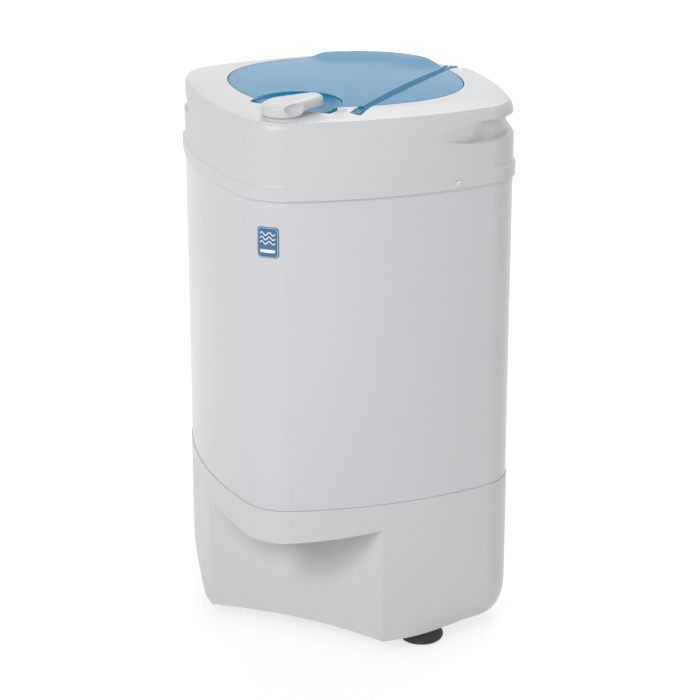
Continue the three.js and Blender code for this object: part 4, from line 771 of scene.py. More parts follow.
# %% [markdown]
# The front corner is cut back by a bowed chord, so that a basin can stand
# under the drain. Above the chord an arched overhang remains, and the wall
# under it is pushed back in a soft scoop.

# %% Recess
RECESS_BOW = 14
RECESS_HALF = 114.6
DRAIN = middle_of("drain_spout")
RECESS_FACE = -(DRAIN.x + DRAIN.y) * math.sqrt(0.5) + 6
LIP_MIDDLE = BASE_TOP - 39.6
LIP_END = LIP_MIDDLE + 8.2
SCOOP_HALF, SCOOP_DEPTH, SCOOP_DROP = 104, 36, 92


def recess_wall(across, z):
    """Where the recess's wall stands: a bowed chord, pushed back by a soft scoop under the lip."""
    down = np.clip((LIP_MIDDLE - z) / SCOOP_DROP, 0, 1)
    inside = np.clip(1 - (across / SCOOP_HALF) ** 2 - down ** 2, 0, 1)
    chord = RECESS_FACE - RECESS_BOW * (1 - np.clip(across / RECESS_HALF, -1, 1) ** 2)
    return chord - SCOOP_DEPTH * inside ** 1.4


def recess_form(inset):
    """The recess as a solid: its scooped wall, and the arched roof that the overhang leaves."""
    half, far = RECESS_HALF + inset, 2 * HALF
    across = np.linspace(-half, half, 65)
    rings = []
    for z in [BASE_FOOT - 9, *np.linspace(BASE_FOOT, LIP_MIDDLE, 34), LIP_END + inset + 5]:
        wall = recess_wall(across, z) - inset
        rings.append(np.stack([np.r_[-half, across, half], np.r_[far, wall, far], np.full(67, z)], 1))
    scooped = moved(loft(rings), ON_DIAGONALS)
    share, side = np.linspace(-1, 1, 49), half + 1
    arch = zip(side * share, LIP_END + inset + (LIP_MIDDLE - LIP_END) * (1 - share * share))
    roof = prism([(-side, -30), *arch, (side, -30)], -2 * far, 2 * far, ON_DIAGONALS @ UPRIGHT)
    return combined(scooped, roof, how="INTERSECT")


print("recess face:", round(RECESS_FACE, 1), "overhang at", round(LIP_MIDDLE, 1))

# %% [markdown]
# The base's hollow is its own form drawn in by one wall, less the recess made
# one wall larger. A deck closes it above, with holes for the motor and drain,
# and a round service hole in its floor takes the vented plate.

# %% Base
FLOOR_TOP, DECK_BOTTOM = BASE_FOOT + WALL, BASE_TOP - 4
SPIGOT, SPIGOT_INSIDE = CABINET_HALF - 1.5, CABINET_HALF - 4.5
SERVICE = half_of("bottom_plate") + GAP
MOTOR_HOLE, SPOUT_HOLE, HOSE_HOLE, STUD_HOLE, GLAND_HOLE = 60, 10.3, 14, 3, 7
FEET = [middle_of(f"foot_{i}") for i in range(1, 5)]
POSTS = [middle_of(f"mount_rubber_{i}") for i in range(1, 4)]


def on_floor(point):
    return (point.x, point.y, 0)


def base_body():
    """The hollow moulding with its posts, bosses and the spigot that the sheet slips over."""
    hollow = combined(base_form(WALL, FLOOR_TOP, DECK_BOTTOM), recess_form(WALL))
    shell = combined(base_form(0, BASE_FOOT, BASE_TOP), recess_form(0), hollow)
    spigot = combined(plan_stack([(SPIGOT, BASE_TOP - 1), (SPIGOT, BASE_TOP + 12)]),
                      plan_stack([(SPIGOT_INSIDE, BASE_TOP - 2), (SPIGOT_INSIDE, BASE_TOP + 13)]))
    posts = [rod(12, top_of("mount_rubber_1") + GAP, DECK_BOTTOM + 1, on_floor(p), 32) for p in POSTS]
    bosses = [rod(15, FLOOR_TOP - 1, BASE_FOOT + 31.4, on_floor(p), 32) for p in FEET]
    return combined(shell, spigot, *posts, *bosses, how="UNION")


def base_mesh():
    gland = moved(rod(GLAND_HOLE, -12, 12, steps=32),
                  Matrix.Translation((0, HALF - 1.5, BASE_FOOT + 45.4)) @ UPRIGHT)
    return combined(base_body(), rod(SERVICE, BASE_FOOT - 1, FLOOR_TOP + 1),
                    rod(MOTOR_HOLE, DECK_BOTTOM - 1, BASE_TOP + 1),
                    rod(SPOUT_HOLE, LIP_MIDDLE - 1, LIP_END + 6, on_floor(DRAIN)),
                    rod(HOSE_HOLE, DECK_BOTTOM - 1, BASE_TOP + 1, on_floor(DRAIN)), gland,
                    *[rod(STUD_HOLE, BASE_FOOT - 1, BASE_FOOT + 27, on_floor(p), 24) for p in FEET])


piece("base_moulding", base_mesh(), white_plastic, "cabinet", ["base_housing"], edge=0.9)

# %% [markdown]
# ## Top cover
# The cover is the most sculpted moulding. From its skirt the wall rises
# almost straight, turns over in a soft shoulder and climbs gently to the rim
# round the lid. The rim is cut down in front for the lever and behind for
# lifting the lid, and the side corners have finger grips. First comes the
# outline that the lid and its bed share: a circle drawn slightly square, with
# a lip for the fingers at the back.

# %% Outline of the lid
LID_GAP = 0.9
LID_STEPS = 180
SQUARENESS = 3.5
LIP_REACH, LIP_LIFT = 6, 4.5


def lip_share(angle):
    """How far a direction lies inside the lifting lip, which runs out gently on the hinge's side."""
    away = np.degrees((angle - math.pi / 4 + math.pi) % (2 * math.pi) - math.pi)
    return 1 - eased(np.where(away > 0, (away - 35) / 12, (-away - 12) / 26))


def lid_ring(offset, z, scale=1.0, lip=0.0):
    angle = np.linspace(0, 2 * math.pi, LID_STEPS, endpoint=False)
    share = lip_share(angle)
    radius = (LID_RADIUS - SQUARENESS * np.cos(4 * angle) + LIP_REACH * share + offset) * scale
    return np.stack([radius * np.cos(angle), radius * np.sin(angle), z + LIP_LIFT * share * lip], 1)


print("lid radius", round(LID_RADIUS, 1), "mm, lip", LIP_REACH, "mm longer")

# %% [markdown]
# The outside and the inside are two stacks of plan rings. Beside the finger
# grips the inside stands further in, so that the grips don't break through.

# %% Cover walls
GRIP = (RIM - 43.5, RIM - 19.5)
GRIP_DEPTH, GRIP_HALF = 10, 96


def cover_outside():
    shoulder = smooth_curve([(WALL_HALF, GRIP[1] - 8), (WALL_HALF - 0.8, RIM_EDGE - 11),
                             (WALL_HALF - 2.2, RIM_EDGE - 4), (WALL_HALF - 5, RIM_EDGE),
                             (WALL_HALF - 9, RIM_EDGE + 2.2), (LID_RADIUS + 2, RIM)], 4)
    foot = smooth_curve([(SKIRT_HALF, SKIRT_TOP - 2), (SKIRT_HALF - 1.6, SKIRT_TOP - 0.6),
                         (WALL_HALF + 0.6, SKIRT_TOP + 1)], 4)
    return plan_stack([(SKIRT_HALF, SKIRT_BOTTOM), *foot, *shoulder])


def cover_inside():
    sheet, wall, roof = SHEET_TOP + GAP, WALL_HALF - WALL, RIM_EDGE - 11
    return plan_stack([(CABINET_HALF + GAP, SKIRT_BOTTOM - 1), (CABINET_HALF + GAP, sheet), (wall, sheet + 1),
                       (wall, GRIP[0] - 14), (wall - GRIP_DEPTH, GRIP[0] - 4), (wall - GRIP_DEPTH, roof - 4),
                       (LID_RADIUS - 12, roof - 1)])


print("grip from", round(GRIP[0], 1), "to", round(GRIP[1], 1))

# %% [markdown]
# A finger grip follows the wall round a side corner. Its ledge and its roof
# run out towards the ends, the roof sooner, and the ledge rises there.

# %% Finger grips


def grip_form(turn):
    """The finger grip of a side corner: a ledge that runs out softly at its ends, under an overhang."""
    ring = plan_ring(WALL_HALF, 0)
    out, along = (ring[:, 0] + ring[:, 1]) * math.sqrt(0.5), (ring[:, 1] - ring[:, 0]) * math.sqrt(0.5)
    corner = np.flatnonzero(out > 60)
    corner = corner[np.argsort(along[corner])]
    rings = []
    for place in np.linspace(-GRIP_HALF, GRIP_HALF, 65):
        wall, far = np.interp(place, along[corner], out[corner]), abs(place)
        ledge = wall + 0.5 - GRIP_DEPTH * (1 - eased((far - 30) / 64))
        roof = wall + 0.5 - GRIP_DEPTH * (1 - eased((far - 26) / 26))
        low = GRIP[0] + 10 * max((far - 38) / 54, 0) ** 2
        rings.append(np.array([(wall + 40, place, low), (ledge, place, low), (roof, place, GRIP[1]),
                               (wall + 40, place, GRIP[1])]))
    return moved(loft(rings), Matrix.Rotation(turn, 4, "Z") @ ON_DIAGONALS)


print("grips reach", GRIP_HALF, "mm to both sides of their corners")

# %% [markdown]
# The rim is cut down twice. In front the cut is shallow: it ends in a crisp
# crease on the hinge's side and fades to nothing on the other. Behind it is
# a level stretch between two slopes, which falls outwards a little.

# %% Cuts in the rim
FRONT_DROP, FRONT_FALL = 3.7, 0.061
CREASE, CREASE_FLARE = 66, 0.147
FADE_END, FADE_START, FADE_RISE = -90, 20, 5.5
BACK_HALF, BACK_DROP, BACK_FALL, BACK_SLOPE = 84, 7, math.radians(8), 2.5


def front_cut():
    """Lowers the rim in front, out to a crisp crease on the hinge's side and to nothing on the other."""
    rings, over = [], RIM + 20
    for ahead in np.linspace(128, 240, 15):
        floor, edge = RIM - FRONT_DROP - (ahead - 140) * FRONT_FALL, CREASE + (ahead - 135) * CREASE_FLARE
        rings.append(np.array([(FADE_END, ahead, floor + FADE_RISE), (FADE_START, ahead, floor),
                               (edge, ahead, floor), (edge + 3, ahead, floor + 10), (edge + 3, ahead, over),
                               (FADE_END, ahead, over)]))
    return moved(loft(rings), ON_DIAGONALS)


def back_cut():
    """Cuts the rim down behind between two slopes, falling outwards."""
    half, run = BACK_HALF, BACK_SLOPE * BACK_DROP
    place = Matrix.Translation((0, LID_RADIUS - 6, RIM - BACK_DROP)) @ Matrix.Rotation(-BACK_FALL, 4, "X")
    return prism([(-half, 0), (half, 0), (half + run, run), (-half - run, run)], -HALF, 0,
                 Matrix.Rotation(math.pi, 4, "Z") @ ON_DIAGONALS @ place @ UPRIGHT)


print("rim lowered by", FRONT_DROP, "mm in front and", BACK_DROP, "mm behind")

# %% [markdown]
# The lid lies in a sunk bed, so the rim stands just beside it. The same
# outline, one gap larger, cuts the bed, and a slot across it takes the hinge.
# The thumb dish in front has a round bed of its own, with a straight edge
# towards the lever.

# %% Bed and mouth
MOUTH = LID_RADIUS - 39
SEAT = LID_SEAT - GAP
OVER = RIM + 1
LEVER_AHEAD = LID_RADIUS + 33
LEVER_PLACE = diagonal(6, LEVER_AHEAD)
DISH_PLACE = diagonal(2, LID_RADIUS - 7)
DISH_RADIUS, DISH_EDGE = 50, LEVER_AHEAD - 25.5
EAR_BEHIND, EAR_AHEAD = 7, 4
HINGE_SLOT = (HINGE_OFFSET - EAR_BEHIND - LID_GAP, HINGE_OFFSET + EAR_AHEAD + LID_GAP)


def cover_body():
    """The cover's walls with the funnel, whose mouth leads down into the drum."""
    throat = lathe([(0, SKIRT_BOTTOM), (MOUTH, SKIRT_BOTTOM), (MOUTH, RIM - 21.5), (LID_RADIUS - 16, SEAT),
                    (LID_RADIUS - 16, RIM), (0, RIM)], 128)
    funnel = lathe([(MOUTH, SKIRT_TOP + 25), (MOUTH + WALL, SKIRT_TOP + 25), (MOUTH + WALL, RIM - 22.5),
                    (LID_RADIUS - 14, SEAT - 4), (LID_RADIUS - 4, SEAT - 4), (LID_RADIUS - 4, SEAT),
                    (LID_RADIUS - 20, SEAT), (MOUTH, RIM - 21.5)], 128)
    shell = combined(cover_outside(), cover_inside(), throat)
    return combined(shell, combined(funnel, throat), how="UNION")


def beds():
    """What is cut for the lid, for its hinge and for the dish in front of it."""
    reach = LID_RADIUS + LID_GAP
    slot = box_between(HINGE_SLOT, (-reach, reach), (HINGE_Z - 3.7, OVER), ON_DIAGONALS)
    ahead = box_between((-LID_RADIUS, LID_RADIUS), (DISH_EDGE + GAP, 2 * LID_RADIUS), (SEAT - 1, OVER + 1),
                        ON_DIAGONALS)
    dish = combined(rod(DISH_RADIUS + LID_GAP, SEAT, OVER, on_floor(DISH_PLACE), 96), ahead)
    return [loft([lid_ring(LID_GAP, SEAT), lid_ring(LID_GAP, OVER)]), slot, dish]


print("mouth", round(2 * MOUTH), "mm wide, lid seat at", round(SEAT, 1))

# %% [markdown]
# With its grips and cuts the cover is complete but for the lever: a round pad
# stands up for it on the front corner, bored for the shaft.

# %% Cover
PAD_TOP, PAD_RADIUS, SHAFT_HOLE = RIM - 4.2, 22.5, 8


def cover_mesh():
    opened = combined(cover_body(), *beds(), grip_form(0), grip_form(math.pi), front_cut(), back_cut())
    pad = rod(PAD_RADIUS, RIM_EDGE - 13, PAD_TOP, on_floor(LEVER_PLACE))
    bore = rod(SHAFT_HOLE, RIM - 45, PAD_TOP + 1, on_floor(LEVER_PLACE))
    return combined(combined(opened, pad, how="UNION"), bore)


piece("cover_moulding", cover_mesh(), white_plastic, "cabinet", ["top_cover"], edge=0.7)

# %% [markdown]
# ## Lid and corner pane
# The lid is one thin blue moulding, crowned a little so that water runs off.
# It is cut along a diagonal: the small corner pane is fixed, the large part
# swings up on two pins in a groove between them. A skirt hangs round the
# edge into the bed, and at the back a lip reaches out for the fingers.

# %% Lid forms
CROWN = 2.2
LID_WALL = 2.6
LIP_START, LIP_SPAN = 0.55, 0.45


def lid_blank(offset, drop, low):
    """The lid as a solid, crowned, with its lip raised only towards the edge."""
    top = RIM - drop
    rings = [lid_ring(offset, low), lid_ring(offset, top - 0.8, 1, 1), lid_ring(offset - 0.8, top, 1, 1)]
    for scale in (0.94, 0.86, 0.78, 0.7, 0.62, 0.45, 0.3, 0.15, 0.03):
        lip = eased((scale - LIP_START) / LIP_SPAN)
        rings.append(lid_ring(offset, top + CROWN * (1 - scale * scale), scale, lip))
    return loft(rings)


def lid_shell():
    return combined(lid_blank(0, 0, LID_SEAT), lid_blank(-LID_WALL, LID_WALL, LID_SEAT - 1))


print("lid", LID_WALL, "mm thick, crowned by", CROWN, "mm")

# %% [markdown]
# Lid and pane meet at the hinge line in a groove with sloping sides. Forms
# that belong to the hinge are drawn upright and then laid along its line.

# %% Hinge forms
PIN_RADIUS = 1.25
BARREL = 2.8
GROOVE = 21


def groove_form(side):
    """Everything past the hinge line and above the slope of its groove."""
    near, far, height = -side * GAP, side * 3 * LID_RADIUS, GROOVE
    outline = [(near, -height), (near, 0), (near - side * height, height), (far, height), (far, -height)]
    return prism(outline, -2 * LID_RADIUS, 2 * LID_RADIUS,
                 ON_DIAGONALS @ Matrix.Translation((HINGE_OFFSET, 0, HINGE_Z)) @ UPRIGHT)


def hinge_rod(radius, middle, length):
    place = ON_DIAGONALS @ Matrix.Translation((HINGE_OFFSET, middle, HINGE_Z)) @ UPRIGHT
    return moved(rod(radius, -length / 2, length / 2, steps=32), place)


def ear(start, end, reach):
    return box_between((HINGE_OFFSET + start, HINGE_OFFSET + end), (-reach, reach),
                       (HINGE_Z - PIN_RADIUS, HINGE_Z + 2.4), ON_DIAGONALS)


print("hinge line", round(HINGE_OFFSET, 1), "mm from the middle, at height", round(HINGE_Z, 1))

# %% [markdown]
# Where the groove meets the round edge, the cuts leave crumbs. Only the
# largest body is kept of what they leave.

# %% Largest body


def biggest(mesh):
    work = bmesh.new()
    work.from_mesh(mesh)
    left, bodies = set(work.verts), []
    while left:
        body, edge = set(), [left.pop()]
        while edge:
            vert = edge.pop()
            body.add(vert)
            near = {link.other_vert(vert) for link in vert.link_edges} & left
            left -= near
            edge += near
        bodies.append(body)
    keep = max(bodies, key=len)
    bmesh.ops.delete(work, geom=[v for v in work.verts if v not in keep], context="VERTS")
    work.to_mesh(mesh)
    work.free()
    return mesh


two_rods = combined(rod(1, 0, 1), rod(1, 0, 1, (5, 0, 0)), how="UNION")
print("of", len(two_rods.vertices), "points on two rods it keeps", len(biggest(two_rods).vertices))

# %% [markdown]
# The dish's round bites into the lid, so a curved wall closes the lid there.
# Two barrels at the ends of the hinge line turn on pins held in the cover.

# %% Lid
NOTCH = DISH_RADIUS + LID_GAP


def dish_round(radius, low, high):
    return rod(radius, low, high, on_floor(DISH_PLACE), 128)


def lid_mesh():
    top, reach = RIM + 8, LID_RADIUS
    strip = box_between((HINGE_OFFSET - EAR_BEHIND, HINGE_OFFSET), (-reach, reach), (0, top), ON_DIAGONALS)
    edge = combined(lid_blank(0, 0, HINGE_Z - PIN_RADIUS), strip, how="INTERSECT")
    ring = combined(dish_round(NOTCH + LID_WALL, LID_SEAT, top), dish_round(NOTCH, LID_SEAT - 1, top + 1))
    wall = combined(lid_blank(0, 0, LID_SEAT), ring, how="INTERSECT")
    body = combined(lid_shell(), edge, wall, ear(-EAR_BEHIND, 0, reach), how="UNION")
    body = combined(body, groove_form(1), dish_round(NOTCH, LID_SEAT - 1, top + 1))
    barrels = [hinge_rod(BARREL, end * (reach - 5), 10) for end in (-1, 1)]
    holes = [hinge_rod(PIN_RADIUS + GAP, end * (reach - 1.5), 15) for end in (-1, 1)]
    return biggest(combined(combined(body, *barrels, how="UNION"), *holes))


piece("clear_lid", lid_mesh(), blue_clear, "lid", ["lid"], edge=0.35)

# %% [markdown]
# The corner pane is the rest of the same moulding. It ends short of the
# lid's barrels.

# %% Corner pane
PANE_REACH = LID_RADIUS - 10.5


def pane_mesh():
    ends = (-PANE_REACH, PANE_REACH)
    strip = box_between((HINGE_OFFSET, HINGE_OFFSET + EAR_AHEAD), ends, (0, RIM + CROWN), ON_DIAGONALS)
    edge = combined(lid_blank(0, 0, LID_SEAT), strip, how="INTERSECT")
    body = combined(lid_shell(), edge, ear(0, EAR_AHEAD, PANE_REACH), how="UNION")
    return biggest(combined(body, groove_form(-1)))


piece("clear_corner_pane", pane_mesh(), blue_clear, "cabinet", ["corner_pane"], edge=0.35)

# %% [markdown]
# ## Dish
# In front of the lid a shallow dish is let in, so that a thumb can get under
# the lever's end. It is the same blue, with a bowl turned into its top.

# %% Dish
DISH_DEPTH = 7


def dish_mesh():
    """A round plate with a bowl in it, open to the front and cut straight there."""
    floor = RIM - DISH_DEPTH
    side = smooth_curve([(DISH_RADIUS - 20, floor), (DISH_RADIUS - 10, floor + 1.6),
                         (DISH_RADIUS - 4, floor + 4.5), (DISH_RADIUS - 1, OVER)], 5)
    bowl = lathe([(0, floor), *side, (0, OVER)], 128, on_floor(DISH_PLACE))
    reach = (-LID_RADIUS, LID_RADIUS)
    open_front = box_between(reach, (LID_RADIUS - 3, 2 * LID_RADIUS), (floor, OVER), ON_DIAGONALS)
    front = box_between(reach, (DISH_EDGE, 2 * LID_RADIUS), (LID_SEAT - 1, OVER), ON_DIAGONALS)
    return combined(dish_round(DISH_RADIUS, LID_SEAT, RIM), bowl, open_front, front)


piece("thumb_dish", dish_mesh(), blue_clear, "cabinet", ["lever_dish"], edge=0.3)

# %% [markdown]
# ## Lever
# The lever is a thick white moulding: a round end over its pivot and a
# narrower thumb end, joined by straight sides. Its top falls a little towards
# the round end, while the arm's underside stays level.

# %% Lever plan
PUCK, TIP, LENGTH = 22.5, 12.5, 38
ARM_BOTTOM = LEVER_TOP - 11.5
LEVER_FALL = 6


def lever_plan(offset, z):
    """The lever's outline at a height: two arcs and the lines that touch both."""
    root, tip = PUCK + offset, TIP + offset
    lean = math.acos((root - tip) / LENGTH)
    end = np.linspace(-lean, lean, 29)
    back = np.linspace(lean, 2 * math.pi - lean, 61)
    x = np.concatenate([LENGTH + tip * np.cos(end), root * np.cos(back)])
    y = np.concatenate([tip * np.sin(end), root * np.sin(back)])
    fall = LEVER_FALL * np.clip((LENGTH - x) / (LENGTH + PUCK), 0, 1) ** 1.5
    return np.stack([x, y, z - fall * np.clip((z - ARM_BOTTOM) / (LEVER_TOP - ARM_BOTTOM), 0, 1)], 1)


print("lever", PUCK + LENGTH + TIP, "mm long")

# %% [markdown]
# The top edge is well rounded. The arm runs clear over the rim and dish, on a
# round foot that flares into it, and a hollow pressed into its side gives the
# thumb a hold.

# %% Lever forms
LEVER_FOOT = PAD_TOP + GAP
LEVER_BORE = 5.3
THUMB_PLACE, THUMB_SIZE = (LENGTH * 0.12, -PUCK - 2.5, LEVER_TOP - 8), (17, 8, 9)


def lever_blank():
    foot = LEVER_FOOT
    levels = [(-1.5, foot), (0, foot + 2), (0, LEVER_TOP - 7)]
    levels += smooth_curve([(0, LEVER_TOP - 6.5), (-1.2, LEVER_TOP - 3), (-4, LEVER_TOP - 0.8),
                            (-8, LEVER_TOP)], 5)
    return loft([lever_plan(offset, z) for offset, z in levels])


def lever_under():
    """What is cut away under the arm, round the foot."""
    foot = LEVER_FOOT
    flare = smooth_curve([(PUCK - 0.5, ARM_BOTTOM - 7), (PUCK + 1.8, ARM_BOTTOM - 2.3),
                          (PUCK + 6.5, ARM_BOTTOM)], 5)
    puck = lathe([(0, foot - 2), (PUCK - 0.5, foot - 2), *flare, (0, ARM_BOTTOM)], 96)
    return combined(box_between((-100, 100), (-100, 100), (foot - 1, ARM_BOTTOM)), puck)


def thumb_hollow():
    turns = np.linspace(-math.pi / 2, math.pi / 2, 25)
    ball = lathe([(math.cos(a) if 0 < i < 24 else 0, math.sin(a)) for i, a in enumerate(turns)], 64)
    return moved(ball, Matrix.Translation(THUMB_PLACE) @ Matrix.Diagonal((*THUMB_SIZE, 1)))


print("lever's foot stands at", round(LEVER_FOOT, 1), "mm")

# %% [markdown]
# At rest the lever points back over the lid, turned a little towards the
# hinge, and holds the lid down.

# %% Lever
LEVER_TURN = math.radians(31)


def lever_mesh():
    solid = combined(lever_blank(), lever_under(), thumb_hollow(),
                     rod(LEVER_BORE, LEVER_FOOT - 1, LEVER_TOP - 10))
    away = ACROSS * math.sin(LEVER_TURN) - FRONT * math.cos(LEVER_TURN)
    aside = Vector((0, 0, 1)).cross(away)
    turn = Matrix(((away.x, aside.x, 0, 0), (away.y, aside.y, 0, 0), (0, 0, 1, 0), (0, 0, 0, 1)))
    return moved(solid, Matrix.Translation(LEVER_PLACE) @ turn)


piece("lever_moulding", lever_mesh(), white_plastic, "lever", ["lever"], edge=0.8,
      segments=3)

# %% [markdown]
# ## Things that repeat
# Screws, feet and the drum's holes are one shape set many times. Geometry
# Nodes does that: it takes a shape and a mesh of points, each with a turn
# about the upright, and sets the shape on every point. The result becomes
# one plain mesh for each body.

# %% Nodes and sockets


def node_in(tree, kind, **values):
    node = tree.nodes.new("GeometryNode" + kind)
    for name, value in values.items():
        node.inputs[name.replace("_", " ")].default_value = value
    return node


def add_socket(tree, name, kind, direction="INPUT", value=None):
    socket = tree.interface.new_socket(name=name, in_out=direction, socket_type="NodeSocket" + kind)
    if value is not None:
        socket.default_value = value


def geometry_tree(name, *sockets):
    """A tree with these (name, kind, value) inputs, and what they give inside it."""
    tree = bpy.data.node_groups.new(name, "GeometryNodeTree")
    for label, kind, value in sockets:
        add_socket(tree, label, kind, value=value)
    add_socket(tree, "Geometry", "Geometry", "OUTPUT")
    return tree, tree.nodes.new("NodeGroupInput").outputs


def give_out(tree, setter, finish):
    """Makes plain geometry of the set shapes, gives it its material and hands it out."""
    real, surface = node_in(tree, "RealizeInstances"), node_in(tree, "SetMaterial")
    out = tree.nodes.new("NodeGroupOutput")
    tree.links.new(setter.outputs["Instances"], real.inputs["Geometry"])
    tree.links.new(real.outputs["Geometry"], surface.inputs["Geometry"])
    tree.links.new(finish, surface.inputs["Material"])
    tree.links.new(surface.outputs["Geometry"], out.inputs["Geometry"])


print("node groups:", len(bpy.data.node_groups))

# %% [markdown]
# The tree reads each point's turn from an attribute, makes a rotation of it
# and sets the shape there.

# %% Tree that repeats a shape


def set_on_points_tree():
    tree, got = geometry_tree("set_on_points", ("Geometry", "Geometry", None), ("Shape", "Object", None),
                              ("Size", "Float", 1.0), ("Finish", "Material", None))
    shape, setter = node_in(tree, "ObjectInfo"), node_in(tree, "InstanceOnPoints")
    turn, spin = node_in(tree, "InputNamedAttribute"), tree.nodes.new("ShaderNodeCombineXYZ")
    turn.data_type, turn.inputs["Name"].default_value = "FLOAT", "turn"
    link = tree.links.new
    link(got["Shape"], shape.inputs["Object"])
    link(got["Geometry"], setter.inputs["Points"])
    link(shape.outputs["Geometry"], setter.inputs["Instance"])
    link(turn.outputs["Attribute"], spin.inputs["Z"])
    link(spin.outputs["Vector"], setter.inputs["Rotation"])
    link(got["Size"], setter.inputs["Scale"])
    give_out(tree, setter, got["Finish"])
    return tree


SET_ON_POINTS = set_on_points_tree()
print("tree", SET_ON_POINTS.name, "with", len(SET_ON_POINTS.nodes), "nodes")

# %% [markdown]
# The points are a mesh with no faces, and the turn is an attribute on them.
# The shape is drawn once in millimetres about its own place.

# %% Repeat a shape


def grown(mesh, tree, **values):
    """The plain mesh that a node tree makes of a mesh, with the tree's inputs set."""
    host = linked("host", mesh)
    modifier = host.modifiers.new("grow", "NODES")
    modifier.node_group = tree
    for socket in tree.interface.items_tree:
        given = socket.name.replace(" ", "_")
        if socket.in_out == "INPUT" and given in values:
            modifier[socket.identifier] = values[given]
    made = finished(host)
    bpy.data.objects.remove(host)
    return made


def repeated(name, shape, places, material, body, replaces=()):
    """Sets a shape in millimetres at each (point, turn) and makes one piece of them."""
    pattern = linked("pattern", shape)
    points = bpy.data.meshes.new("points")
    points.from_pydata([tuple(place * MM) for place, _ in places], [], [])
    points.attributes.new("turn", "FLOAT", "POINT").data.foreach_set("value", [turn for _, turn in places])
    made = grown(points, SET_ON_POINTS, Shape=pattern, Size=MM, Finish=material)
    bpy.data.objects.remove(pattern)
    shown(name, made, body, replaces)


print("inputs:", [s.name for s in SET_ON_POINTS.interface.items_tree if s.in_out == "INPUT"])

# %% [markdown]
# ## Feet
# Four soft rubber feet keep the machine from walking while it spins. Each is
# a bulging cup with a grooved sole, on a stud that is pushed up into a boss
# of the base.

# %% Feet
STUD_RADIUS = 2.7
STUD_TOP = BASE_FOOT + 23.4


def foot_mesh():
    top = BASE_FOOT - GAP
    sole = [(0, 1.2), (5, 1.2), (6, 0), (10, 0), (10.8, 1.1), (12.2, 1.1), (13, 0), (16, 0), (16.8, 1.1),
            (18.2, 1.1), (19, 0)]
    side = smooth_curve([(20, 0), (24.5, 2.5), (26, 6), (25.2, 9), (24, 12), (22.3, 16), (21, top)], 4)
    stud = [(STUD_RADIUS, top), (STUD_RADIUS, STUD_TOP), (0, STUD_TOP)]
    return lathe(sole + side + stud, 64)


repeated("rubber_feet", foot_mesh(), [(Vector(on_floor(p)), 0) for p in FEET], black_rubber, "cabinet",
         [f"foot_{i}" for i in range(1, 5)])

# %% [markdown]
# ## Skirt screws
# Three plated screws hold the cover to the sheet, set in the skirt a little
# beside the middle of a side. The head is a low dome with a cross recess.

# %% Screw
SHANK, RECESS_ARM, RECESS_SLOT, RECESS_FLOOR = 1.7, 2.1, 0.42, 0.95


def screw_mesh():
    """A screw along Y with its head outwards and its seat at zero."""
    head = smooth_curve([(3.6, 0.3), (3.6, 0.9), (3.2, 1.5), (2.0, 1.95), (0.6, 2.1)], 4)
    body = lathe([(0, -8), (SHANK, -8), (SHANK, 0.3), *head, (0, 2.1)], 48)
    bars = [box_between((-a, a), (-b, b), (RECESS_FLOOR, 3))
            for a, b in ((RECESS_ARM, RECESS_SLOT), (RECESS_SLOT, RECESS_ARM))]
    return moved(combined(body, *bars), Matrix.Rotation(-math.pi / 2, 4, "X"))


print("screw of", len(screw_mesh().polygons), "faces")

# %% [markdown]
# Each screw stands square on its side's bow, so its turn follows from how far
# it sits beside the middle of that side.

# %% Screws in the skirt


def screw_places():
    """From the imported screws' own boxes, facing the way that their side does."""
    places = []
    for i in range(1, 4):
        middle = middle_of(f"cover_screw_{i}")
        turn = math.atan2(middle.y, middle.x)
        side = round(turn / (math.pi / 2)) * math.pi / 2
        out = Vector((math.cos(side), math.sin(side), 0))
        along = Vector((-out.y, out.x, 0))
        lean = math.asin(middle.dot(along) / SIDE_RADIUS)
        reach = SIDE_RADIUS * math.cos(lean) - (SIDE_RADIUS - SKIRT_HALF)
        seat = out * reach + along * middle.dot(along) + Vector((0, 0, middle.z))
        places.append((seat, side + lean - math.pi / 2))
    return places


repeated("skirt_screws", screw_mesh(), screw_places(), zinc_steel, "cabinet",
         [f"cover_screw_{i}" for i in range(1, 4)])

# %% [markdown]
# ## Drum
# The drum is thin stainless sheet, rolled and seamed, and the water leaves
# it by rows of holes. The punch leaves a soft raised rim round each hole.
# A second tree lays such rims by rule: so many rows, so many holes in each,
# and every other row turned by half a step.

# %% Where the holes are


def hole_turn(tree, index, got):
    """The row of a hole and the angle at which it stands."""
    row = math_node(tree, "FLOOR", math_node(tree, "DIVIDE", index, got["Holes"]))
    stagger = math_node(tree, "MULTIPLY", math_node(tree, "MODULO", row, 2), 0.5)
    step = math_node(tree, "ADD", math_node(tree, "ADD", index, 0.25), stagger)
    return row, math_node(tree, "DIVIDE", math_node(tree, "MULTIPLY", step, 2 * math.pi), got["Holes"])


def hole_place(tree, row, turn, got):
    place = tree.nodes.new("ShaderNodeCombineXYZ")
    across = math_node(tree, "MULTIPLY", math_node(tree, "SINE", turn), -1)
    height = math_node(tree, "ADD", got["First Height"], math_node(tree, "MULTIPLY", row, got["Row Step"]))
    tree.links.new(math_node(tree, "MULTIPLY", across, got["Radius"]), place.inputs["X"])
    tree.links.new(math_node(tree, "MULTIPLY", math_node(tree, "COSINE", turn), got["Radius"]),
                   place.inputs["Y"])
    tree.links.new(height, place.inputs["Z"])
    return place.outputs["Vector"]


print("drum", round(2 * half_of("drum")), "mm wide")

# %% [markdown]
# One rim is a thin ring swept round a circle. It is stood up, turned to face
# outwards and set at every hole.

# %% Tree of the rims


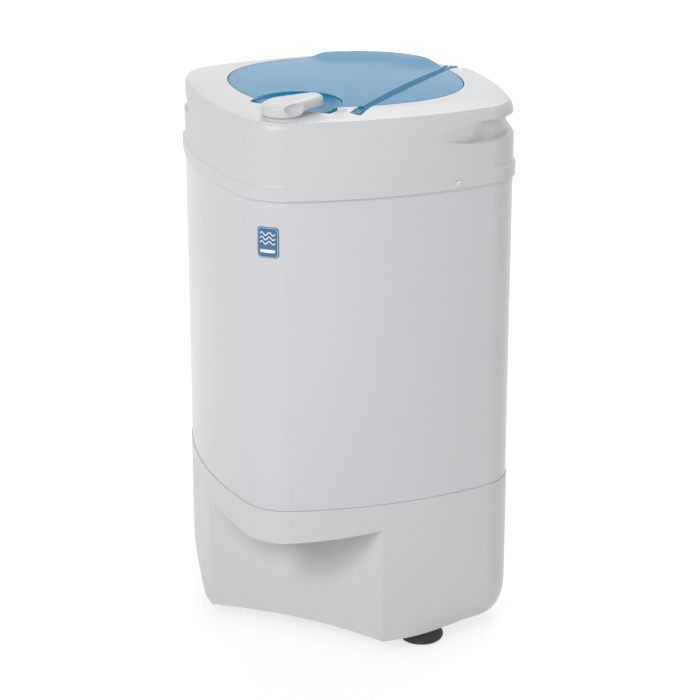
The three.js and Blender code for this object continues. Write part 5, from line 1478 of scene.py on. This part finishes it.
def rim_ring(tree, got):
    ring = node_in(tree, "CurvePrimitiveCircle", Resolution=18)
    section = node_in(tree, "CurvePrimitiveCircle", Resolution=6)
    sweep = node_in(tree, "CurveToMesh")
    tree.links.new(got["Hole Radius"], ring.inputs["Radius"])
    tree.links.new(got["Rim"], section.inputs["Radius"])
    tree.links.new(ring.outputs["Curve"], sweep.inputs["Curve"])
    tree.links.new(section.outputs["Curve"], sweep.inputs["Profile Curve"])
    return sweep.outputs["Mesh"]


def rims_tree():
    tree, got = geometry_tree("rims_round_a_drum", ("Rows", "Int", 4), ("Holes", "Int", 14),
                              ("Radius", "Float", 0.12), ("First Height", "Float", 0.25),
                              ("Row Step", "Float", 0.1), ("Hole Radius", "Float", 0.0035),
                              ("Rim", "Float", 0.0004), ("Finish", "Material", None))
    row, turn = hole_turn(tree, node_in(tree, "InputIndex").outputs["Index"], got)
    spin = tree.nodes.new("ShaderNodeCombineXYZ")
    spin.inputs["X"].default_value = math.pi / 2
    points, setter = node_in(tree, "Points"), node_in(tree, "InstanceOnPoints")
    link = tree.links.new
    link(turn, spin.inputs["Z"])
    link(math_node(tree, "MULTIPLY", got["Rows"], got["Holes"]), points.inputs["Count"])
    link(hole_place(tree, row, turn, got), points.inputs["Position"])
    link(points.outputs["Points"], setter.inputs["Points"])
    link(rim_ring(tree, got), setter.inputs["Instance"])
    link(spin.outputs["Vector"], setter.inputs["Rotation"])
    give_out(tree, setter, got["Finish"])
    return tree


RIMS = rims_tree()
print("tree", RIMS.name, "with", len(RIMS.nodes), "nodes")

# %% [markdown]
# Rows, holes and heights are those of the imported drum, and the rims turn with
# it.

# %% Drum hole rims
ROWS, HOLES, EDGE_TO_ROW = 4, 14, 30
RIM_RADIUS, RIM_WIRE = 0.0039, 0.00045


def drum_rims():
    low, high = foot_of("drum") + EDGE_TO_ROW, top_of("drum") - EDGE_TO_ROW
    mesh = grown(bpy.data.meshes.new("empty"), RIMS, Rows=ROWS, Holes=HOLES, Radius=half_of("drum") * MM,
                 First_Height=low * MM, Row_Step=(high - low) / (ROWS - 1) * MM, Hole_Radius=RIM_RADIUS,
                 Rim=RIM_WIRE, Finish=stainless)
    shown("drum_hole_rims", mesh, "drum", smooth_to=math.pi)


drum_rims()

# %% [markdown]
# ## Badge
# A small blue badge is set into the front corner below the cover. Three
# silver waves over a bar say what the machine does. It bends round the
# corner, so every point is drawn flat and then wrapped onto the outline of
# the sheet.

# %% Wrapping onto the sheet


def wrapped(mesh, along, height):
    """Bends a flat mesh (x along, y out, z up) round the front corner of the sheet."""
    ring = plan_ring(CABINET_HALF, 0)[:, :2]
    start = int(np.argmin(ring @ np.array([1.0, 1.0])))
    line = np.roll(ring, -start + len(ring) // 8, 0)[:len(ring) // 4]
    length = np.concatenate([[0], np.cumsum(np.hypot(*np.diff(line, axis=0).T))])
    middle = length[int(np.argmin(line @ np.array([1.0, 1.0])))]
    for vert in mesh.vertices:
        at = middle + along + vert.co.x
        (x, x0, x1), (y, y0, y1) = (np.interp((at, at - 1, at + 1), length, line[:, i]) for i in (0, 1))
        dx, dy = x1 - x0, y1 - y0
        out = Vector((dy, -dx, 0)).normalized()
        vert.co = Vector((x, y, height + vert.co.z)) + out * vert.co.y
    return outward(mesh)


def upright(mesh):
    """Stands a form that was drawn on the floor up against the sheet."""
    return moved(mesh, Matrix(((1, 0, 0, 0), (0, 0, 1, 0), (0, 1, 0, 0), (0, 0, 0, 1))))


print("the sheet's outline has", len(plan_ring(CABINET_HALF, 0)), "points")

# %% [markdown]
# The badge is a rounded plate with a soft edge and a slightly domed face.

# %% Badge plate
BADGE_WIDTH, BADGE_HEIGHT, BADGE_CORNER = 25.0, 35.0, 4.5
BADGE_ALONG, BADGE_Z = 6.0, 508.0


def rounded_outline(width, height, radius, steps=10):
    outline = []
    for turn, (x, y) in enumerate([(1, 1), (-1, 1), (-1, -1), (1, -1)]):
        for i in range(steps + 1):
            angle = (turn + i / steps) * math.pi / 2
            outline.append((x * (width / 2 - radius) + radius * math.cos(angle),
                            y * (height / 2 - radius) + radius * math.sin(angle)))
    return outline


def pillow(outline, low, high):
    """A plate with a soft edge and a slightly domed face."""
    flat = np.array([(x, y, 0) for x, y in outline])
    rings = [flat + (0, 0, low)]
    for shrink, z in ((1.0, high - 0.5), (0.985, high - 0.2), (0.95, high), (0.8, high + 0.12),
                      (0.55, high + 0.2), (0.3, high + 0.24), (0.05, high + 0.25)):
        rings.append(flat * (shrink, shrink, 1) + (0, 0, z))
    return loft(rings)


plate = pillow(rounded_outline(BADGE_WIDTH, BADGE_HEIGHT, BADGE_CORNER), -0.2, 1.0)
piece("badge_plate", wrapped(upright(plate), BADGE_ALONG, BADGE_Z), blue_badge, "cabinet",
      edge=0)

# %% [markdown]
# The motif is raised strips with sloping sides: three waves, a bar under
# them and a thin frame.

# %% Badge motif
WAVE_HALF, WAVE_SWING, BAR_WIDTH = 8.5, 1.7, 4.5


def ribbon(path, width, low, high):
    """A raised strip along a flat path."""
    line = np.array(path)
    slope = np.gradient(line, axis=0)
    side = np.stack([-slope[:, 1], slope[:, 0]], 1) / np.hypot(*slope.T)[:, None] * width / 2
    rings = [np.array([(*(p - s), low), (*(p - 0.7 * s), high), (*(p + 0.7 * s), high), (*(p + s), low)])
             for p, s in zip(line, side)]
    return loft(rings)


def joined(meshes):
    work = bmesh.new()
    for mesh in meshes:
        work.from_mesh(mesh)
    whole = bpy.data.meshes.new("joined")
    work.to_mesh(whole)
    work.free()
    return whole


def motif():
    x = np.linspace(-WAVE_HALF, WAVE_HALF, 49)
    waves = [ribbon(list(zip(x, WAVE_SWING * np.sin(x * 2 * math.pi / WAVE_HALF) + y)), 1.5, 0.7, 1.45)
             for y in (10, 5, 0)]
    bar = ribbon([(t, -9.5) for t in np.linspace(-WAVE_HALF, WAVE_HALF, 25)], BAR_WIDTH, 0.7, 1.4)
    border = [(x * 0.9, y * 0.93) for x, y in rounded_outline(BADGE_WIDTH, BADGE_HEIGHT, BADGE_CORNER)]
    return joined([*waves, bar, ribbon(border + border[:1], 0.5, 0.5, 1.25)])


piece("badge_waves", wrapped(upright(motif()), BADGE_ALONG, BADGE_Z), badge_silver, "cabinet",
      edge=0)

# %% [markdown]
# ## Floor and backdrop
# The machine stands in a white studio sweep. One sheet makes it: a floor that
# curves up into a wall behind, so that no edge or horizon shows.

# %% Sweep
SWEEP_NEAR, SWEEP_FAR, SWEEP_BEND, SWEEP_HALF, SWEEP_TOP = 3.0, -2.2, 1.3, 5, 6.0
FACING_CAMERA = Matrix.Rotation(AZIMUTH, 4, "Z")


def add_sweep():
    """A floor that bends up into a wall, facing the camera."""
    bend = np.linspace(0, math.pi / 2, 17)[1:]
    profile = [(SWEEP_NEAR, 0.0), (SWEEP_FAR, 0.0)]
    profile += [(SWEEP_FAR - SWEEP_BEND * math.sin(a), SWEEP_BEND - SWEEP_BEND * math.cos(a)) for a in bend]
    profile += [(SWEEP_FAR - SWEEP_BEND, SWEEP_TOP)]
    points = [FACING_CAMERA @ Vector((x, -y, z)) for y, z in profile for x in (-SWEEP_HALF, SWEEP_HALF)]
    faces = [[2 * i, 2 * i + 1, 2 * i + 3, 2 * i + 2] for i in range(len(profile) - 1)]
    mesh = bpy.data.meshes.new("studio_sweep")
    mesh.from_pydata([tuple(p) for p in points], [], faces)
    mesh.shade_smooth()
    mesh.materials.append(floor_paper)
    linked("studio_sweep", mesh)
    print("studio_sweep", len(faces), "faces")


floor_paper = material("floor_paper", ((0.83, 0.83, 0.83), (0.85, 0.85, 0.85)), (0.55, 0.7), (300, 4, 0.4),
                       bump=0.03)
add_sweep()

# %% [markdown]
# A studio picture burns the paper out to white and leaves only a faint
# shadow round the feet. So where the paper is looked at, it glows by itself,
# fully at a distance and a little less close to the machine. The light that
# it throws back onto the machine stays that of plain paper.

# %% White paper
GLOW_NEAR, GLOW_FROM, GLOW_TO = 0.74, 0.3, 1.0
PAPER_SEEN = (0.34, 0.34, 0.34)


def seen_directly(tree):
    """1 for rays from the camera, off gloss and through glass, and 0 for the light that surfaces share."""
    path = tree.nodes.new("ShaderNodeLightPath")
    seen = path.outputs["Is Camera Ray"]
    for ray in ("Is Glossy Ray", "Is Transmission Ray"):
        seen = math_node(tree, "MAXIMUM", seen, path.outputs[ray])
    return seen


def whiten(paper):
    """Gives the paper its own white where it is looked at, and a darker one for the light to fall on."""
    tree = paper.node_tree
    surface = tree.nodes["Principled BSDF"]
    seen = seen_directly(tree)
    length = tree.nodes.new("ShaderNodeVectorMath")
    length.operation = "LENGTH"
    tree.links.new(object_coordinates(tree), length.inputs["Vector"])
    glow = ranged(tree, length.outputs["Value"], GLOW_FROM, GLOW_TO, GLOW_NEAR, 1.0, "SMOOTHSTEP")
    tree.links.new(math_node(tree, "MULTIPLY", glow, seen), surface.inputs["Emission Strength"])
    surface.inputs["Emission Color"].default_value = (1, 1, 1, 1)
    lit = surface.inputs["Base Color"].links[0].from_socket
    tree.links.new(mixed_colour(tree, seen, lit, PAPER_SEEN), surface.inputs["Base Color"])


whiten(floor_paper)
print("paper glows from", GLOW_NEAR, "to 1")

# %% [markdown]
# ## Light
# The main lamp is large and soft. It stands high and nearly before the front
# corner, a little to the left, so that the left face is bright and the right
# one falls a shade darker. A weak one fills from the right, and a third
# behind and above lights the lid and the rim.

# %% Lamps
AIM = Vector((0, 0, 0.35))
KEY_WATTS, FILL_WATTS, RIM_WATTS = 42, 6, 21


def add_lamp(name, place, size, power):
    """A square lamp, its place given in metres to the camera's right, away from it and up."""
    data = bpy.data.lights.new(name, "AREA")
    data.shape, data.size, data.energy = "SQUARE", size, power
    lamp = linked(name, data)
    lamp.location = FACING_CAMERA @ Vector(place)
    lamp.rotation_euler = (lamp.location - AIM).to_track_quat("Z", "Y").to_euler()


add_lamp("key", (-1.22, -2.36, 2.1), 1.5, KEY_WATTS)
add_lamp("fill", (2.2, -1.6, 1.4), 1.6, FILL_WATTS)
add_lamp("rim", (0.4, 1.4, 2.6), 1.6, RIM_WATTS)

# %% [markdown]
# The world is pure white where it is seen, in the picture, in gloss and
# through the blue lid, and gives only a soft even light to the surfaces.

# %% World
WORLD_SEEN, WORLD_LIGHT = 1.0, 0.35


def add_world(seen, ambient):
    world = bpy.data.worlds.new("studio")
    world.use_nodes = True
    tree = world.node_tree
    light = tree.nodes["Background"]
    tree.links.new(ranged(tree, seen_directly(tree), 0, 1, ambient, seen), light.inputs["Strength"])
    light.inputs["Color"].default_value = (1, 1, 1, 1)
    bpy.context.scene.world = world


add_world(WORLD_SEEN, WORLD_LIGHT)
bpy.context.scene.view_settings.view_transform = "Standard"
print("world:", bpy.context.scene.world.name)

# %% [markdown]
# ## Finish
# Each corner of a box is turned into a list of plain numbers.

# %% Finish


def plain(box):
    return [[float(v) for v in corner] for corner in box]
